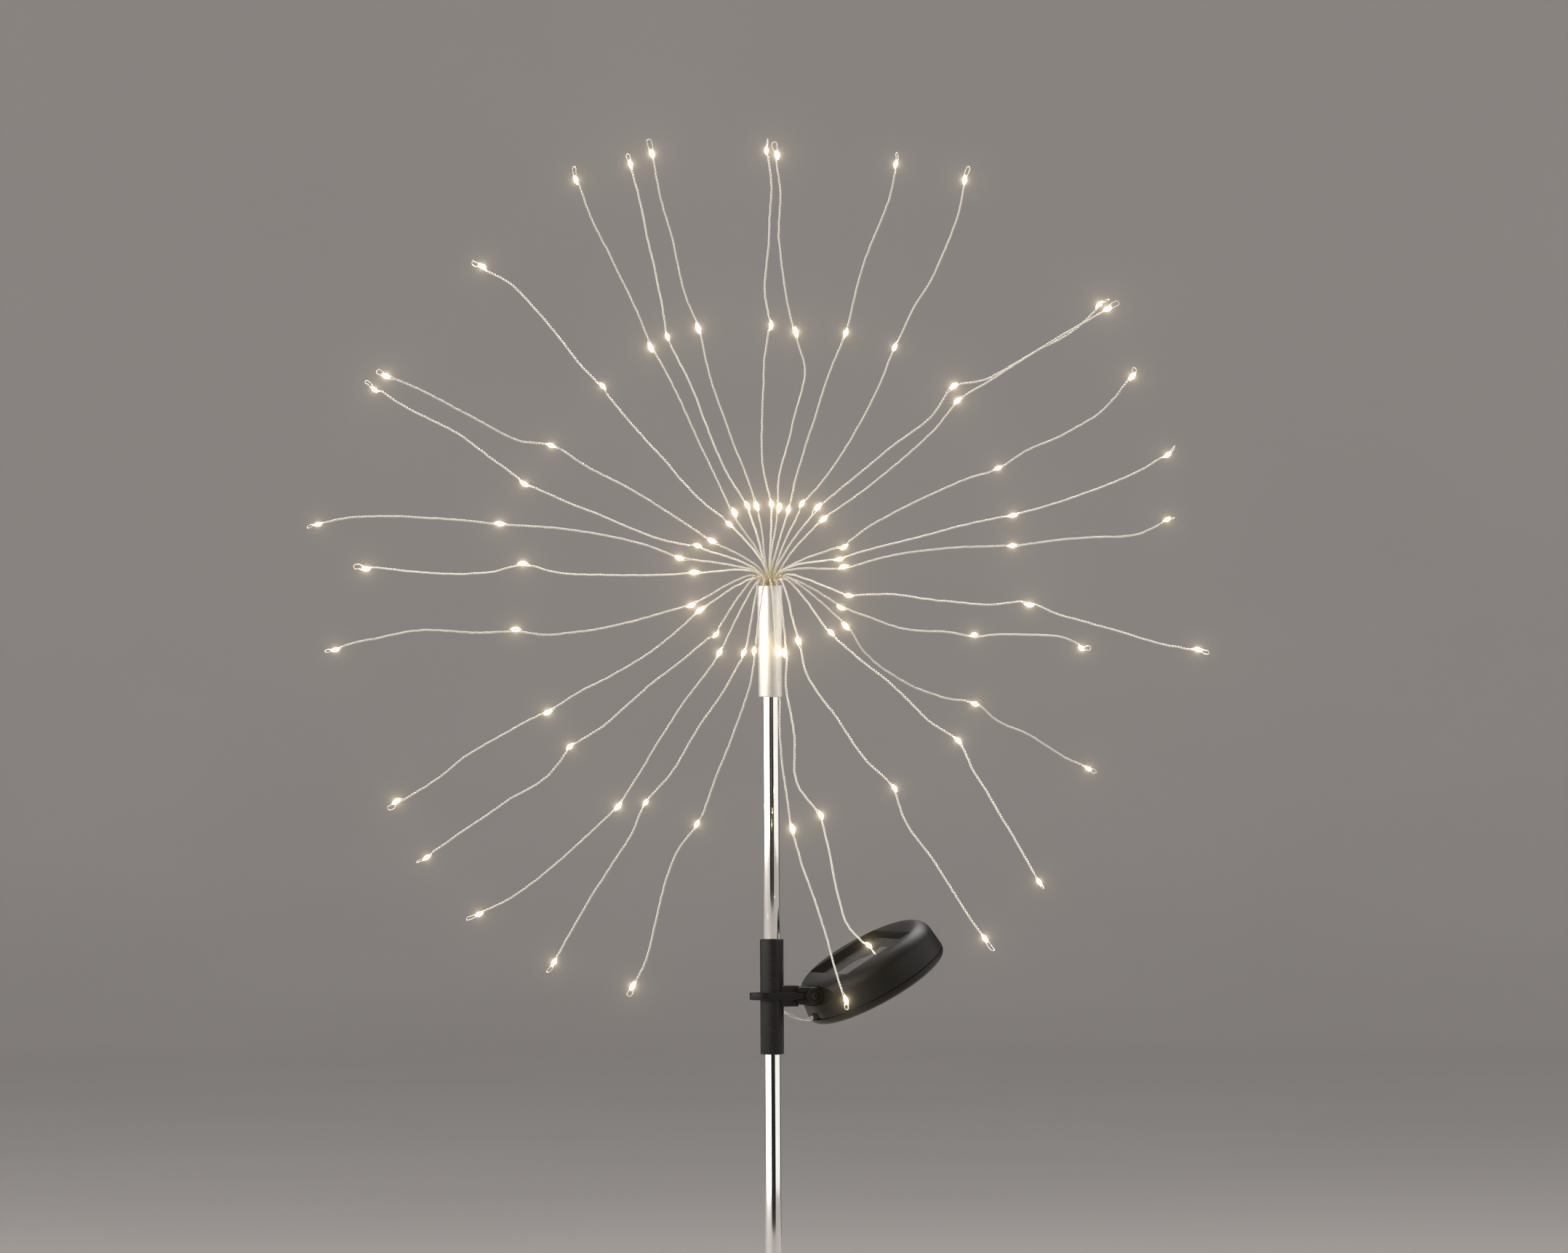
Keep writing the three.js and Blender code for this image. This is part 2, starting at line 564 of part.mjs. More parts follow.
function solarStack() {
  const top = TOP_FACE - WINDOW_DEPTH;
  const x = WINDOW_WIDE / 2 - GAP;
  const y = WINDOW_LONG / 2 - GAP;
  const layers = {
    pv_window: [top - 0.8, top],
    pv_cells: [top - 1.4, top - 1.1],
    pv_board: [top - 2.3, top - 1.7],
  };
  const looks = { pv_window: CLEAR, pv_cells: SOLAR, pv_board: BOARD };
  const inset = { pv_window: 0, pv_cells: 0.8, pv_board: 0 };
  for (const [name, [z0, z1]] of Object.entries(layers)) {
    const cut = inset[name];
    add(puck, name, box(-x + cut, x - cut, -y + cut, y - cut, z0, z1), looks[name]);
  }
}

function batteryTray() {
  const wide = BATTERY_R + 1.7;
  const long = BATTERY_LENGTH / 2 + 3.4;
  const floor = PARTING - BASE_DEPTH + 1.6 + GAP;
  const tray = box(-wide, wide, -long, long, floor, BATTERY_Z + 1);
  const seat = box(-BATTERY_R - GAP, BATTERY_R + GAP, -long + 1.2, long - 1.2, floor + 0.5, BATTERY_Z + 5);
  return tray.subtract(seat).translate([BATTERY_X, 0, 0]);
}

function battery() {
  const half = BATTERY_LENGTH / 2;
  return barrel(BATTERY_R, -half, half - 1, 24).add(barrel(1.9, half - 1.5, half, 16))
    .translate([BATTERY_X, 0, BATTERY_Z]);
}

// The end contacts: a leaf each, the negative one with a conical spring's outline on it.
function contact(side) {
  const face = BATTERY_LENGTH / 2 + 1.9;
  const leaf = box(-4, 4, face - 0.5, face, -3, 3.5);
  const bump = barrel(side < 0 ? 2.6 : 1.4, BATTERY_LENGTH / 2 + GAP, face - 0.4, 12);
  const piece = leaf.add(bump);
  return (side < 0 ? piece.mirror([0, 1, 0]) : piece).translate([BATTERY_X, 0, BATTERY_Z]);
}

function circuitBoard() {
  const board = box(-3, 26, -13, 13, -8.6, -7);
  const chip = box(4, 9, 3, 8, -7.2, -5.9);
  const coil = disc(2.6, -7.2, -4.4, 16).translate([19, -6, 0]);
  return board.add(chip).add(coil);
}

function switchBody() {
  return box(-3, 3, -3, 3, -12.4, -8.9).translate([BUTTON_X, 0, 0]);
}

// The button's flange is behind the cover's floor, so that it can't fall out.
function switchButton() {
  const low = PARTING - BASE_DEPTH - 0.6;
  const cap = disc(BUTTON_R, low, -14.5, 24);
  const flange = disc(BUTTON_R + 1.3, -14.7, -14.2, 24);
  const plunger = disc(1.4, -14.4, -13.7, 12);
  return cap.add(flange).add(plunger).translate([BUTTON_X, 0, 0]);
}

// A rubber bush in the notch of the shell's rim, where the lead goes in.
function leadGrommet() {
  const body = box(-HOUSING_R + 0.4, -HOUSING_R + 2.2, -2, 2, PARTING + 0.1, PARTING + 2.7);
  const bore = barrel(LEAD_R + GAP, -3, 3, 12).rotate([0, 0, 90]);
  return body.subtract(bore.translate([-HOUSING_R, 0, PARTING + 1.4]));
}

add(puck, "panel_top_shell", panelTopShell(), BLACK_PLASTIC);
add(puck, "panel_base_cover", panelBaseCover(), BLACK_PLASTIC);
add(puck, "housing_seal", housingSeal(), RUBBER);
solarStack();
add(puck, "battery_tray", batteryTray(), BLACK_PLASTIC);
add(puck, "battery", battery(), CELL);
add(puck, "contact_neg", contact(-1), SPRING_STEEL);
add(puck, "contact_pos", contact(1), SPRING_STEEL);
add(puck, "circuit_board", circuitBoard(), BOARD);
add(puck, "switch_body", switchBody(), BLACK_PLASTIC);
add(puck, "switch_button", switchButton(), RUBBER);
add(puck, "lead_grommet", leadGrommet(), RUBBER);
BASE_SCREW_TURNS.forEach((turn, i) => {
  add(puck, `base_screw_${i + 1}`, baseScrew(), SCREW_STEEL).position.set(...screwPlace(turn));
});

// ---- free lead from the sleeve to the housing --------------------------------------------
// Its points are in the pole's frame, from the hole in the sleeve round to the housing's bush.

const LEAD_ROUTE = [
  [-2.85, 5.36, 187],
  [-4.2, 7.6, 187.0],
  [-4.6, 10.4, 186.7],
  [-2.6, 12.8, 186.2],
  [1.0, 13.6, 185.4],
  [5.0, 12.8, 184.2],
  [9.0, 10.8, 182.6],
  [12.6, 8.8, 181.2],
  [15.8, 7.5, 180.5],
  [18.4, 7.6, 180.8],
  [20.1, 8.3, 181.8],
];

function leadCord() {
  const points = LEAD_ROUTE.map((p) => new THREE.Vector3(...p));
  const route = new THREE.CatmullRomCurve3(points, false, "centripetal");
  return sweep(route, LEAD_R, 8, 24);
}

add(group, "lead_cord", leadCord(), LEAD);

// ---- LED wires ---------------------------------------------------------------------------

// A point in the front view's heading and reach, with its depth along Y.
function viewPoint(heading, reach, depth) {
  const angle = THREE.MathUtils.degToRad(heading);
  return new THREE.Vector3(reach * Math.sin(angle), depth, MOUTH_Z + reach * Math.cos(angle));
}

// The three LEDs of a wire: they stand a pitch apart, so what the front view doesn't show of
// each stretch is depth.
function ledPlaces([side, ...numbers]) {
  const places = [];
  let last = new THREE.Vector3(0, 0, MOUTH_Z);
  for (let i = 0; i < 3; i += 1) {
    const flat = viewPoint(numbers[2 * i], numbers[2 * i + 1], last.y);
    const length = i === 0 ? FIRST_LED : LED_PITCH;
    const depth = Math.sqrt(Math.max(0, length ** 2 - flat.distanceTo(last) ** 2));
    flat.y += side * depth;
    places.push(flat);
    last = flat;
  }
  return places;
}

// Wires that hang lowest leave from the outer ring, and each ring is filled in the order of
// the wires' own directions, so none crosses its neighbours.
function rootPlaces(leds) {
  const order = leds.map((places, i) => i).sort((a, b) => leds[a][0].z - leds[b][0].z);
  const roots = [];
  let used = 0;
  for (const [radius, count] of ROOT_RINGS) {
    const direction = (i) => Math.atan2(leds[i][0].y, leds[i][0].x);
    const ring = order.slice(used, used + count).sort((a, b) => direction(a) - direction(b));
    const step = (2 * Math.PI) / count;
    const east = ring.reduce((sum, wire, k) => sum + Math.cos(direction(wire) - k * step), 0);
    const north = ring.reduce((sum, wire, k) => sum + Math.sin(direction(wire) - k * step), 0);
    const offset = Math.atan2(north, east);
    ring.forEach((wire, k) => {
      const angle = offset + k * step;
      roots[wire] = new THREE.Vector3(radius * Math.cos(angle), radius * Math.sin(angle), 0);
    });
    used += count;
  }
  return roots;
}

// A smooth curve whose extrusion has its rings at chosen stations, counted in control points.
class StationCurve extends THREE.CatmullRomCurve3 {
  constructor(points, stations) {
    super(points, false, "centripetal");
    this.stations = stations;
  }

  getUtoTmapping(u) {
    const station = this.stations[Math.round(u * (this.stations.length - 1))];
    return station / (this.points.length - 1);
  }
}

// The places between two LEDs, moved sideways in the front view by the bows.
function bowedStretch(from, to, bows) {
  const left = new THREE.Vector3(from.z - to.z, 0, to.x - from.x).normalize();
  return BOW_PLACES.map((part, i) => from.clone().lerp(to, part).addScaledVector(left, bows[i]));
}

// The wire leaves the mouth upright, bends towards its first LED and swells at each LED.
function lightWire(row, leds, root) {
  const start = root.clone().setZ(MOUTH_Z - PLUG_DEPTH);
  const rim = root.clone().setZ(MOUTH_Z + ROOT_RISE);
  const outwards = new THREE.Vector3(leds[0].x, leds[0].y, 0).divideScalar(FIRST_LED);
  const bend = root.clone().addScaledVector(outwards, ROOT_OUT);
  bend.z = MOUTH_Z + BEND_RISE + (leds[0].z - MOUTH_Z) * BEND_FOLLOW;
  const middle = bowedStretch(leds[0], leds[1], row.slice(7, 10));
  const outer = bowedStretch(leds[1], leds[2], row.slice(10));
  const tail = leds[2].clone().add(leds[2].clone().sub(outer[2]).setLength(TAIL));
  const points = [start, rim, bend, leds[0], ...middle, leds[1], ...outer, leds[2], tail];
  const ledPoints = [3, 7, 11];
  const stations = [0, 0.8, 1, 1.3, 1.6, 2, 2.4];
  for (const led of ledPoints) {
    const before = points[led].distanceTo(points[led - 1]);
    const after = points[led].distanceTo(points[led + 1]);
    stations.push(led - LED_LENGTH / 2 / before, led, led + LED_LENGTH / 2 / after);
    if (led < ledPoints[2]) stations.push(led + 1, led + 2, led + 3);
  }
  stations.push(points.length - 1);
  const curve = new StationCurve(points, stations);
  return sweep(curve, WIRE_R, WIRE_SIDES, stations.length - 1, leds);
}

const leds = WIRES.map(ledPlaces);
const roots = rootPlaces(leds);
WIRES.forEach((row, i) => {
  const name = `light_wire_${String(i + 1).padStart(2, "0")}`;
  add(group, name, lightWire(row, leds[i], roots[i]), WIRE);
});

export default group;
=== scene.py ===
# Solar firework stake light: the looks of every piece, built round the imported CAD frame.
# Shapes are made in millimetres, in a frame of their own, and placed in metres.

import json
import math
import random

import bmesh
import bpy
from mathutils import Matrix, Vector, noise


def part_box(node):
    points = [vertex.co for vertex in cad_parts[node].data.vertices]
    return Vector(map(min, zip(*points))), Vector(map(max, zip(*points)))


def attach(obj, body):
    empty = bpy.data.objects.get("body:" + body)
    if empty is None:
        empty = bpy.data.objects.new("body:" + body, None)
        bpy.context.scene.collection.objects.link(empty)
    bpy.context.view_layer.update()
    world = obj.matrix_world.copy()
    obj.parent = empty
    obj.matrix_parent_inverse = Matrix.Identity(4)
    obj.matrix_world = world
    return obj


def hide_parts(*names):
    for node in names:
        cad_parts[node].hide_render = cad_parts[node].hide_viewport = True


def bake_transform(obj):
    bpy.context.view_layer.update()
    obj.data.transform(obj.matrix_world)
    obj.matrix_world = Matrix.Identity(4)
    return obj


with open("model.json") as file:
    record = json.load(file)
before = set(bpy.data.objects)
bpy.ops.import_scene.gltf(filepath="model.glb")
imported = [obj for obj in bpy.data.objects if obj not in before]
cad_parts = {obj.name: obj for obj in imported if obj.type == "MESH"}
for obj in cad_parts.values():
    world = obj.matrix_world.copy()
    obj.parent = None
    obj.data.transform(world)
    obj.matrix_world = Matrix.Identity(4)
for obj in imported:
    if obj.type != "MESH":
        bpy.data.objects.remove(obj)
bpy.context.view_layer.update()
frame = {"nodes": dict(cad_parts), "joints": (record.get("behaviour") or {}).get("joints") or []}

MM = 0.001
TAU = 2 * math.pi
noise.seed_set(7)  # unseeded, it is offset by the clock


# ---- places, from the frame ---------------------------------------------------------------

def joint(name):
    return next(j for j in frame["joints"] if j["name"] == name)


tilt = joint("panel_tilt")
hinge = Vector(tilt["pos_m"])
arm_turn = math.atan2(hinge.y, hinge.x)
hinge_reach = math.hypot(hinge.x, hinge.y) / MM
housing_tilt = math.acos(joint("button_press")["axis"][2])
mouth_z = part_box("ferrule")[1].z / MM
HOUSING_OUT = 34.0  # the housing's centre, from the tilt axis

POLE = Matrix.Identity(4)
ARM = Matrix.Translation((0, 0, hinge.z)) @ Matrix.Rotation(arm_turn, 4, "Z")
HINGE = ARM @ Matrix.Translation((hinge_reach * MM, 0, 0))
PUCK = HINGE @ Matrix.Rotation(-housing_tilt, 4, "Y") @ Matrix.Translation((HOUSING_OUT * MM, 0, 0))

# ---- camera -------------------------------------------------------------------------------

CAMERA_DISTANCE = 6.0  # metres from the pole
VIEW_WIDTH = 0.763  # metres across the picture at the pole
CAMERA_ROLL = math.radians(-0.3)
AIM = Vector((0.0068, 0, mouth_z * MM - 0.0199))


def make_camera():
    data = bpy.data.cameras.new("camera")
    data.sensor_width = 36
    data.lens = data.sensor_width * CAMERA_DISTANCE / VIEW_WIDTH
    camera = bpy.data.objects.new("camera", data)
    away = Vector((0, -1, 0))
    turn = (-away).to_track_quat("-Z", "Y").to_matrix().to_4x4()
    place = Matrix.Translation(AIM + away * CAMERA_DISTANCE)
    camera.matrix_world = place @ turn @ Matrix.Rotation(CAMERA_ROLL, 4, "Z")
    bpy.context.scene.collection.objects.link(camera)
    bpy.context.scene.camera = camera


make_camera()


# ---- shape helpers --------------------------------------------------------------------------

def lathe(profile, segments=96, ring=False):
    """A solid turned about Z from (radius, height) points. Its profile runs from axis to axis,
    or closes on itself where ring is true."""
    bm = bmesh.new()
    columns = []
    for i in range(segments):
        angle = TAU * i / segments
        column = []
        for j, (r, z) in enumerate(profile):
            if r < 1e-6 and i > 0:
                column.append(columns[0][j])
            else:
                column.append(bm.verts.new((r * math.cos(angle), r * math.sin(angle), z)))
        columns.append(column)
    count = len(profile)
    for i in range(segments):
        here, there = columns[i], columns[(i + 1) % segments]
        for j in range(count if ring else count - 1):
            k = (j + 1) % count
            corners = []
            for corner in (here[j], there[j], there[k], here[k]):
                if corner not in corners:
                    corners.append(corner)
            if len(corners) > 2:
                bm.faces.new(corners)
    bmesh.ops.recalc_face_normals(bm, faces=bm.faces)
    return bm


def arc(centre, radius, start, end, steps):
    """Points of a round stretch, from one angle to another in degrees."""
    points = []
    for i in range(steps + 1):
        angle = math.radians(start + (end - start) * i / steps)
        points.append((centre[0] + radius * math.cos(angle), centre[1] + radius * math.sin(angle)))
    return points


def rounded_outline(half_x, half_y, radius, steps=6):
    points = []
    for k, (sx, sy) in enumerate(((1, 1), (-1, 1), (-1, -1), (1, -1))):
        centre = (sx * (half_x - radius), sy * (half_y - radius))
        points += arc(centre, radius, 90 * k, 90 * k + 90, steps)
    return points


def close_rings(bm, rings):
    """Joins rings of equal count into a closed skin, with a face at either end."""
    count = len(rings[0])
    for low, high in zip(rings, rings[1:]):
        for i in range(count):
            k = (i + 1) % count
            bm.faces.new((low[i], low[k], high[k], high[i]))
    bm.faces.new(list(reversed(rings[0])))
    bm.faces.new(rings[-1])


def prism(levels):
    """A closed solid through outlines of equal count: [(outline, height), ...] from low to high."""
    bm = bmesh.new()
    rings = [[bm.verts.new((x, y, z)) for x, y in outline] for outline, z in levels]
    close_rings(bm, rings)
    bmesh.ops.recalc_face_normals(bm, faces=bm.faces)
    return bm


def block(x0, x1, y0, y1, z0, z1, soft=0.0):
    """A box with edges rounded by soft."""
    bm = bmesh.new()
    bmesh.ops.create_cube(bm, size=1)
    bmesh.ops.scale(bm, vec=(x1 - x0, y1 - y0, z1 - z0), verts=bm.verts)
    bmesh.ops.translate(bm, vec=((x0 + x1) / 2, (y0 + y1) / 2, (z0 + z1) / 2), verts=bm.verts)
    if soft:
        bmesh.ops.bevel(bm, geom=list(bm.edges), offset=soft, segments=3, profile=0.5, affect="EDGES")
    return bm


def turned(bm, axis, degrees, move=(0, 0, 0)):
    turn = Matrix.Translation(move) @ Matrix.Rotation(math.radians(degrees), 4, axis)
    bmesh.ops.transform(bm, matrix=turn, verts=bm.verts)
    return bm


def barrel(radius, y0, y1, soft=0.0, segments=48):
    """A round piece along Y, with its rims rounded by soft."""
    if soft:
        profile = [(0, y0), *arc((radius - soft, y0 + soft), soft, -90, 0, 3),
                   *arc((radius - soft, y1 - soft), soft, 0, 90, 3), (0, y1)]
    else:
        profile = [(0, y0), (radius, y0), (radius, y1), (0, y1)]
    return turned(lathe(profile, segments), "X", -90)


def scratch(bm):
    mesh = bpy.data.meshes.new("scratch")
    bm.to_mesh(mesh)
    bm.free()
    piece = bpy.data.objects.new("scratch", mesh)
    bpy.context.scene.collection.objects.link(piece)
    return piece


def applied(piece):
    """The piece's mesh with its modifiers applied, as a bmesh. The piece is removed."""
    bpy.context.view_layer.update()
    shown = piece.evaluated_get(bpy.context.evaluated_depsgraph_get())
    bm = bmesh.new()
    bm.from_mesh(shown.to_mesh())
    bpy.data.objects.remove(piece)
    return bm


def combined(bm, *steps):
    """Joins and cuts: each step is ("UNION" or "DIFFERENCE" or "INTERSECT", solid)."""
    piece = scratch(bm)
    tools = []
    for operation, tool in steps:
        tools.append(scratch(tool))
        modifier = piece.modifiers.new("cut", "BOOLEAN")
        modifier.operation = operation
        modifier.solver = "EXACT"
        modifier.object = tools[-1]
    bm = applied(piece)
    for tool in tools:
        bpy.data.objects.remove(tool)
    bmesh.ops.remove_doubles(bm, verts=bm.verts, dist=1e-4)
    bmesh.ops.dissolve_degenerate(bm, edges=bm.edges, dist=1e-4)
    return bm


def softened(bm, width, angle=40):
    """Rounds the edges that are sharper than angle."""
    piece = scratch(bm)
    modifier = piece.modifiers.new("soft", "BEVEL")
    modifier.width = width
    modifier.segments = 2
    modifier.limit_method = "ANGLE"
    modifier.angle_limit = math.radians(angle)
    modifier.use_clamp_overlap = True
    return applied(piece)


def piece_of(name, bm, place, body, look, replaces=(), sharp=38):
    """Makes the visible piece: metres, smooth faces with sharp edges kept, on its body."""
    for face in bm.faces:
        face.smooth = True
    limit = math.radians(sharp)
    for edge in bm.edges:
        edge.smooth = edge.calc_face_angle(0) < limit
    bmesh.ops.scale(bm, vec=(MM, MM, MM), verts=bm.verts)
    mesh = bpy.data.meshes.new(name)
    bm.to_mesh(mesh)
    bm.free()
    mesh.materials.append(look)
    piece = bpy.data.objects.new(name, mesh)
    bpy.context.scene.collection.objects.link(piece)
    piece.matrix_world = place
    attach(piece, body)
    if replaces:
        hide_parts(*replaces)
    return piece


# ---- lines in space -------------------------------------------------------------------------

def smooth_line(points, spacing):
    """A centripetal Catmull-Rom line through the points, resampled at equal steps."""
    ends = [2 * points[0] - points[1], *points, 2 * points[-1] - points[-2]]
    dense = []
    for k in range(1, len(ends) - 2):
        p0, p1, p2, p3 = ends[k - 1:k + 3]
        t0 = 0.0
        t1 = t0 + math.sqrt(max((p1 - p0).length, 1e-6))
        t2 = t1 + math.sqrt(max((p2 - p1).length, 1e-6))
        t3 = t2 + math.sqrt(max((p3 - p2).length, 1e-6))
        steps = max(4, int((p2 - p1).length / 0.4))
        for i in range(steps):
            t = t1 + (t2 - t1) * i / steps
            a1 = p0 * ((t1 - t) / (t1 - t0)) + p1 * ((t - t0) / (t1 - t0))
            a2 = p1 * ((t2 - t) / (t2 - t1)) + p2 * ((t - t1) / (t2 - t1))
            a3 = p2 * ((t3 - t) / (t3 - t2)) + p3 * ((t - t2) / (t3 - t2))
            b1 = a1 * ((t2 - t) / (t2 - t0)) + a2 * ((t - t0) / (t2 - t0))
            b2 = a2 * ((t3 - t) / (t3 - t1)) + a3 * ((t - t1) / (t3 - t1))
            dense.append(b1 * ((t2 - t) / (t2 - t1)) + b2 * ((t - t1) / (t2 - t1)))
    dense.append(points[-1].copy())
    return evenly(dense, spacing)


def evenly(line, spacing):
    lengths = [0.0]
    for a, b in zip(line, line[1:]):
        lengths.append(lengths[-1] + (b - a).length)
    count = max(2, round(lengths[-1] / spacing))
    even = []
    k = 0
    for i in range(count + 1):
        want = lengths[-1] * i / count
        while k < len(line) - 2 and lengths[k + 1] < want:
            k += 1
        span = max(lengths[k + 1] - lengths[k], 1e-9)
        even.append(line[k].lerp(line[k + 1], min(1.0, (want - lengths[k]) / span)))
    return even


def frames_along(line):
    """Two directions across each point of the line, without twist."""
    tangents = []
    for i in range(len(line)):
        ahead = line[min(i + 1, len(line) - 1)]
        behind = line[max(i - 1, 0)]
        tangents.append((ahead - behind).normalized())
    across = tangents[0].orthogonal().normalized()
    result = []
    for i, tangent in enumerate(tangents):
        if i:
            across = tangents[i - 1].rotation_difference(tangent) @ across
        across = (across - tangent * across.dot(tangent)).normalized()
        result.append((across, tangent.cross(across)))
    return result


def add_tube(bm, line, radius, sides=6):
    """Adds a closed tube along the line to bm."""
    rings = []
    for centre, (across, up) in zip(line, frames_along(line)):
        ring = []
        for i in range(sides):
            angle = TAU * i / sides
            offset = across * (radius * math.cos(angle)) + up * (radius * math.sin(angle))
            ring.append(bm.verts.new(centre + offset))
        rings.append(ring)
    close_rings(bm, rings)


# ---- materials ------------------------------------------------------------------------------

class Look:
    """A node material under construction, with the texture space of its piece in metres."""

    def __init__(self, name, roughness=0.5, metallic=0.0, color=None):
        self.material = bpy.data.materials.new(name)
        self.material.use_nodes = True
        self.nodes = self.material.node_tree.nodes
        self.links = self.material.node_tree.links
        self.shader = self.nodes["Principled BSDF"]
        self.shader.inputs["Roughness"].default_value = roughness
        self.shader.inputs["Metallic"].default_value = metallic
        if color:
            self.shader.inputs["Base Color"].default_value = (*color, 1)
        self.space = self.nodes.new("ShaderNodeTexCoord").outputs["Object"]

    def link(self, a, b):
        self.links.new(a, b)

    def noise(self, scale, detail=3.0, stretch=None):
        node = self.nodes.new("ShaderNodeTexNoise")
        node.inputs["Scale"].default_value = scale
        node.inputs["Detail"].default_value = detail
        source = self.space
        if stretch:
            mapping = self.nodes.new("ShaderNodeMapping")
            mapping.inputs["Scale"].default_value = stretch
            self.link(source, mapping.inputs["Vector"])
            source = mapping.outputs["Vector"]
        self.link(source, node.inputs["Vector"])
        return node.outputs["Fac"]

    def ramp(self, source, stops):
        node = self.nodes.new("ShaderNodeValToRGB")
        elements = node.color_ramp.elements
        while len(elements) < len(stops):
            elements.new(0.5)
        for element, (place, color) in zip(elements, stops):
            element.position = place
            element.color = (*color, 1)
        self.link(source, node.inputs["Fac"])
        return node.outputs["Color"]

    def spread(self, source, low, high):
        node = self.nodes.new("ShaderNodeMapRange")
        node.inputs["To Min"].default_value = low
        node.inputs["To Max"].default_value = high
        self.link(source, node.inputs["Value"])
        return node.outputs["Result"]

    def math(self, operation, a, b=None):
        node = self.nodes.new("ShaderNodeMath")
        node.operation = operation
        for socket, value in zip(node.inputs, (a, b)):
            if value is None:
                continue
            if isinstance(value, (int, float)):
                socket.default_value = value
            else:
                self.link(value, socket)
        return node.outputs["Value"]

    def color(self, source):
        self.link(source, self.shader.inputs["Base Color"])

    def roughness(self, source):
        self.link(source, self.shader.inputs["Roughness"])

    def bump(self, source, depth, strength=1.0):
        node = self.nodes.new("ShaderNodeBump")
        node.inputs["Distance"].default_value = depth
        node.inputs["Strength"].default_value = strength
        self.link(source, node.inputs["Height"])
        self.link(node.outputs["Normal"], self.shader.inputs["Normal"])


def textured_plastic(name, dark, light, grain, depth, rough):
    """Moulded plastic with a spark-eroded grain, a little uneven in colour and gloss."""
    look = Look(name)
    fine = look.noise(grain, 4)
    look.color(look.ramp(fine, [(0.35, dark), (0.7, light)]))
    look.roughness(look.spread(look.noise(90, 2), rough - 0.07, rough + 0.07))
    look.bump(fine, depth)
    look.shader.inputs["Specular IOR Level"].default_value = 0.24
    return look.material


def polished_steel():
    """Mirror-bright tube, with faint drawing streaks along it."""
    look = Look("polished_steel", metallic=1.0)
    look.color(look.ramp(look.noise(40, 2), [(0.3, (0.86, 0.85, 0.83)), (0.7, (0.91, 0.9, 0.88))]))
    streaks = look.noise(60, 3, stretch=(8, 8, 0.25))
    look.roughness(look.spread(streaks, 0.05, 0.11))
    look.bump(streaks, 0.000004, 0.3)
    return look.material


def satin_steel():
    """Pale, finely blasted metal."""
    look = Look("satin_steel", metallic=1.0)
    look.color(look.ramp(look.noise(160, 4), [(0.3, (0.84, 0.82, 0.77)), (0.7, (0.93, 0.91, 0.86))]))
    look.roughness(look.spread(look.noise(700, 4), 0.4, 0.54))
    look.bump(look.noise(1500, 4, stretch=(1, 1, 0.5)), 0.00003, 0.6)
    return look.material


def plated_steel(name, color, rough):
    """Screws, nut and contacts."""
    look = Look(name, metallic=1.0)
    lighter = tuple(min(1, c * 1.15) for c in color)
    look.color(look.ramp(look.noise(400, 3), [(0.3, color), (0.7, lighter)]))
    look.roughness(look.spread(look.noise(900, 4), rough - 0.06, rough + 0.08))
    look.bump(look.noise(1200, 3), 0.00001, 0.5)
    return look.material


def silver_wire():
    """Bright wire, with a warm cast where it bunches at the mouth."""
    look = Look("silver_wire", metallic=0.55)
    apart = look.nodes.new("ShaderNodeVectorMath")
    apart.operation = "DISTANCE"
    apart.inputs[1].default_value = (0, 0, mouth_z * MM)
    look.link(look.space, apart.inputs[0])
    near = look.math("MULTIPLY", apart.outputs["Value"], 1 / 0.016)
    look.color(look.ramp(near, [(0.15, (0.78, 0.68, 0.42)), (0.9, (0.88, 0.85, 0.77))]))
    look.roughness(look.spread(look.noise(500, 2), 0.26, 0.4))
    look.bump(look.noise(2500, 2), 0.000008, 0.4)
    return look.material


def led_resin():
    """A clear drop, lit from inside: the glow attribute is 1 at the LED and 0 at the ends."""
    look = Look("led_resin", roughness=0.06)
    look.color(look.ramp(look.noise(300, 2), [(0.3, (1.0, 0.93, 0.78)), (0.7, (1.0, 0.97, 0.88))]))
    look.shader.inputs["Transmission Weight"].default_value = 0.7
    look.shader.inputs["IOR"].default_value = 1.48
    look.shader.inputs["Emission Color"].default_value = (1.0, 0.76, 0.4, 1)
    glow = look.nodes.new("ShaderNodeAttribute")
    glow.attribute_name = "glow"
    power = look.math("POWER", glow.outputs["Fac"], 4.0)
    look.link(look.math("MULTIPLY", power, LED_GLOW), look.shader.inputs["Emission Strength"])
    look.bump(look.noise(600, 2), 0.00005, 0.3)
    return look.material


def led_chip():
    """The yellow phosphor of a lit LED."""
    look = Look("led_chip", roughness=0.5)
    look.color(look.ramp(look.noise(1500, 2), [(0.3, (1.0, 0.8, 0.35)), (0.7, (1.0, 0.88, 0.5))]))
    look.shader.inputs["Emission Color"].default_value = (1.0, 0.86, 0.6, 1)
    look.shader.inputs["Emission Strength"].default_value = CHIP_GLOW
    return look.material


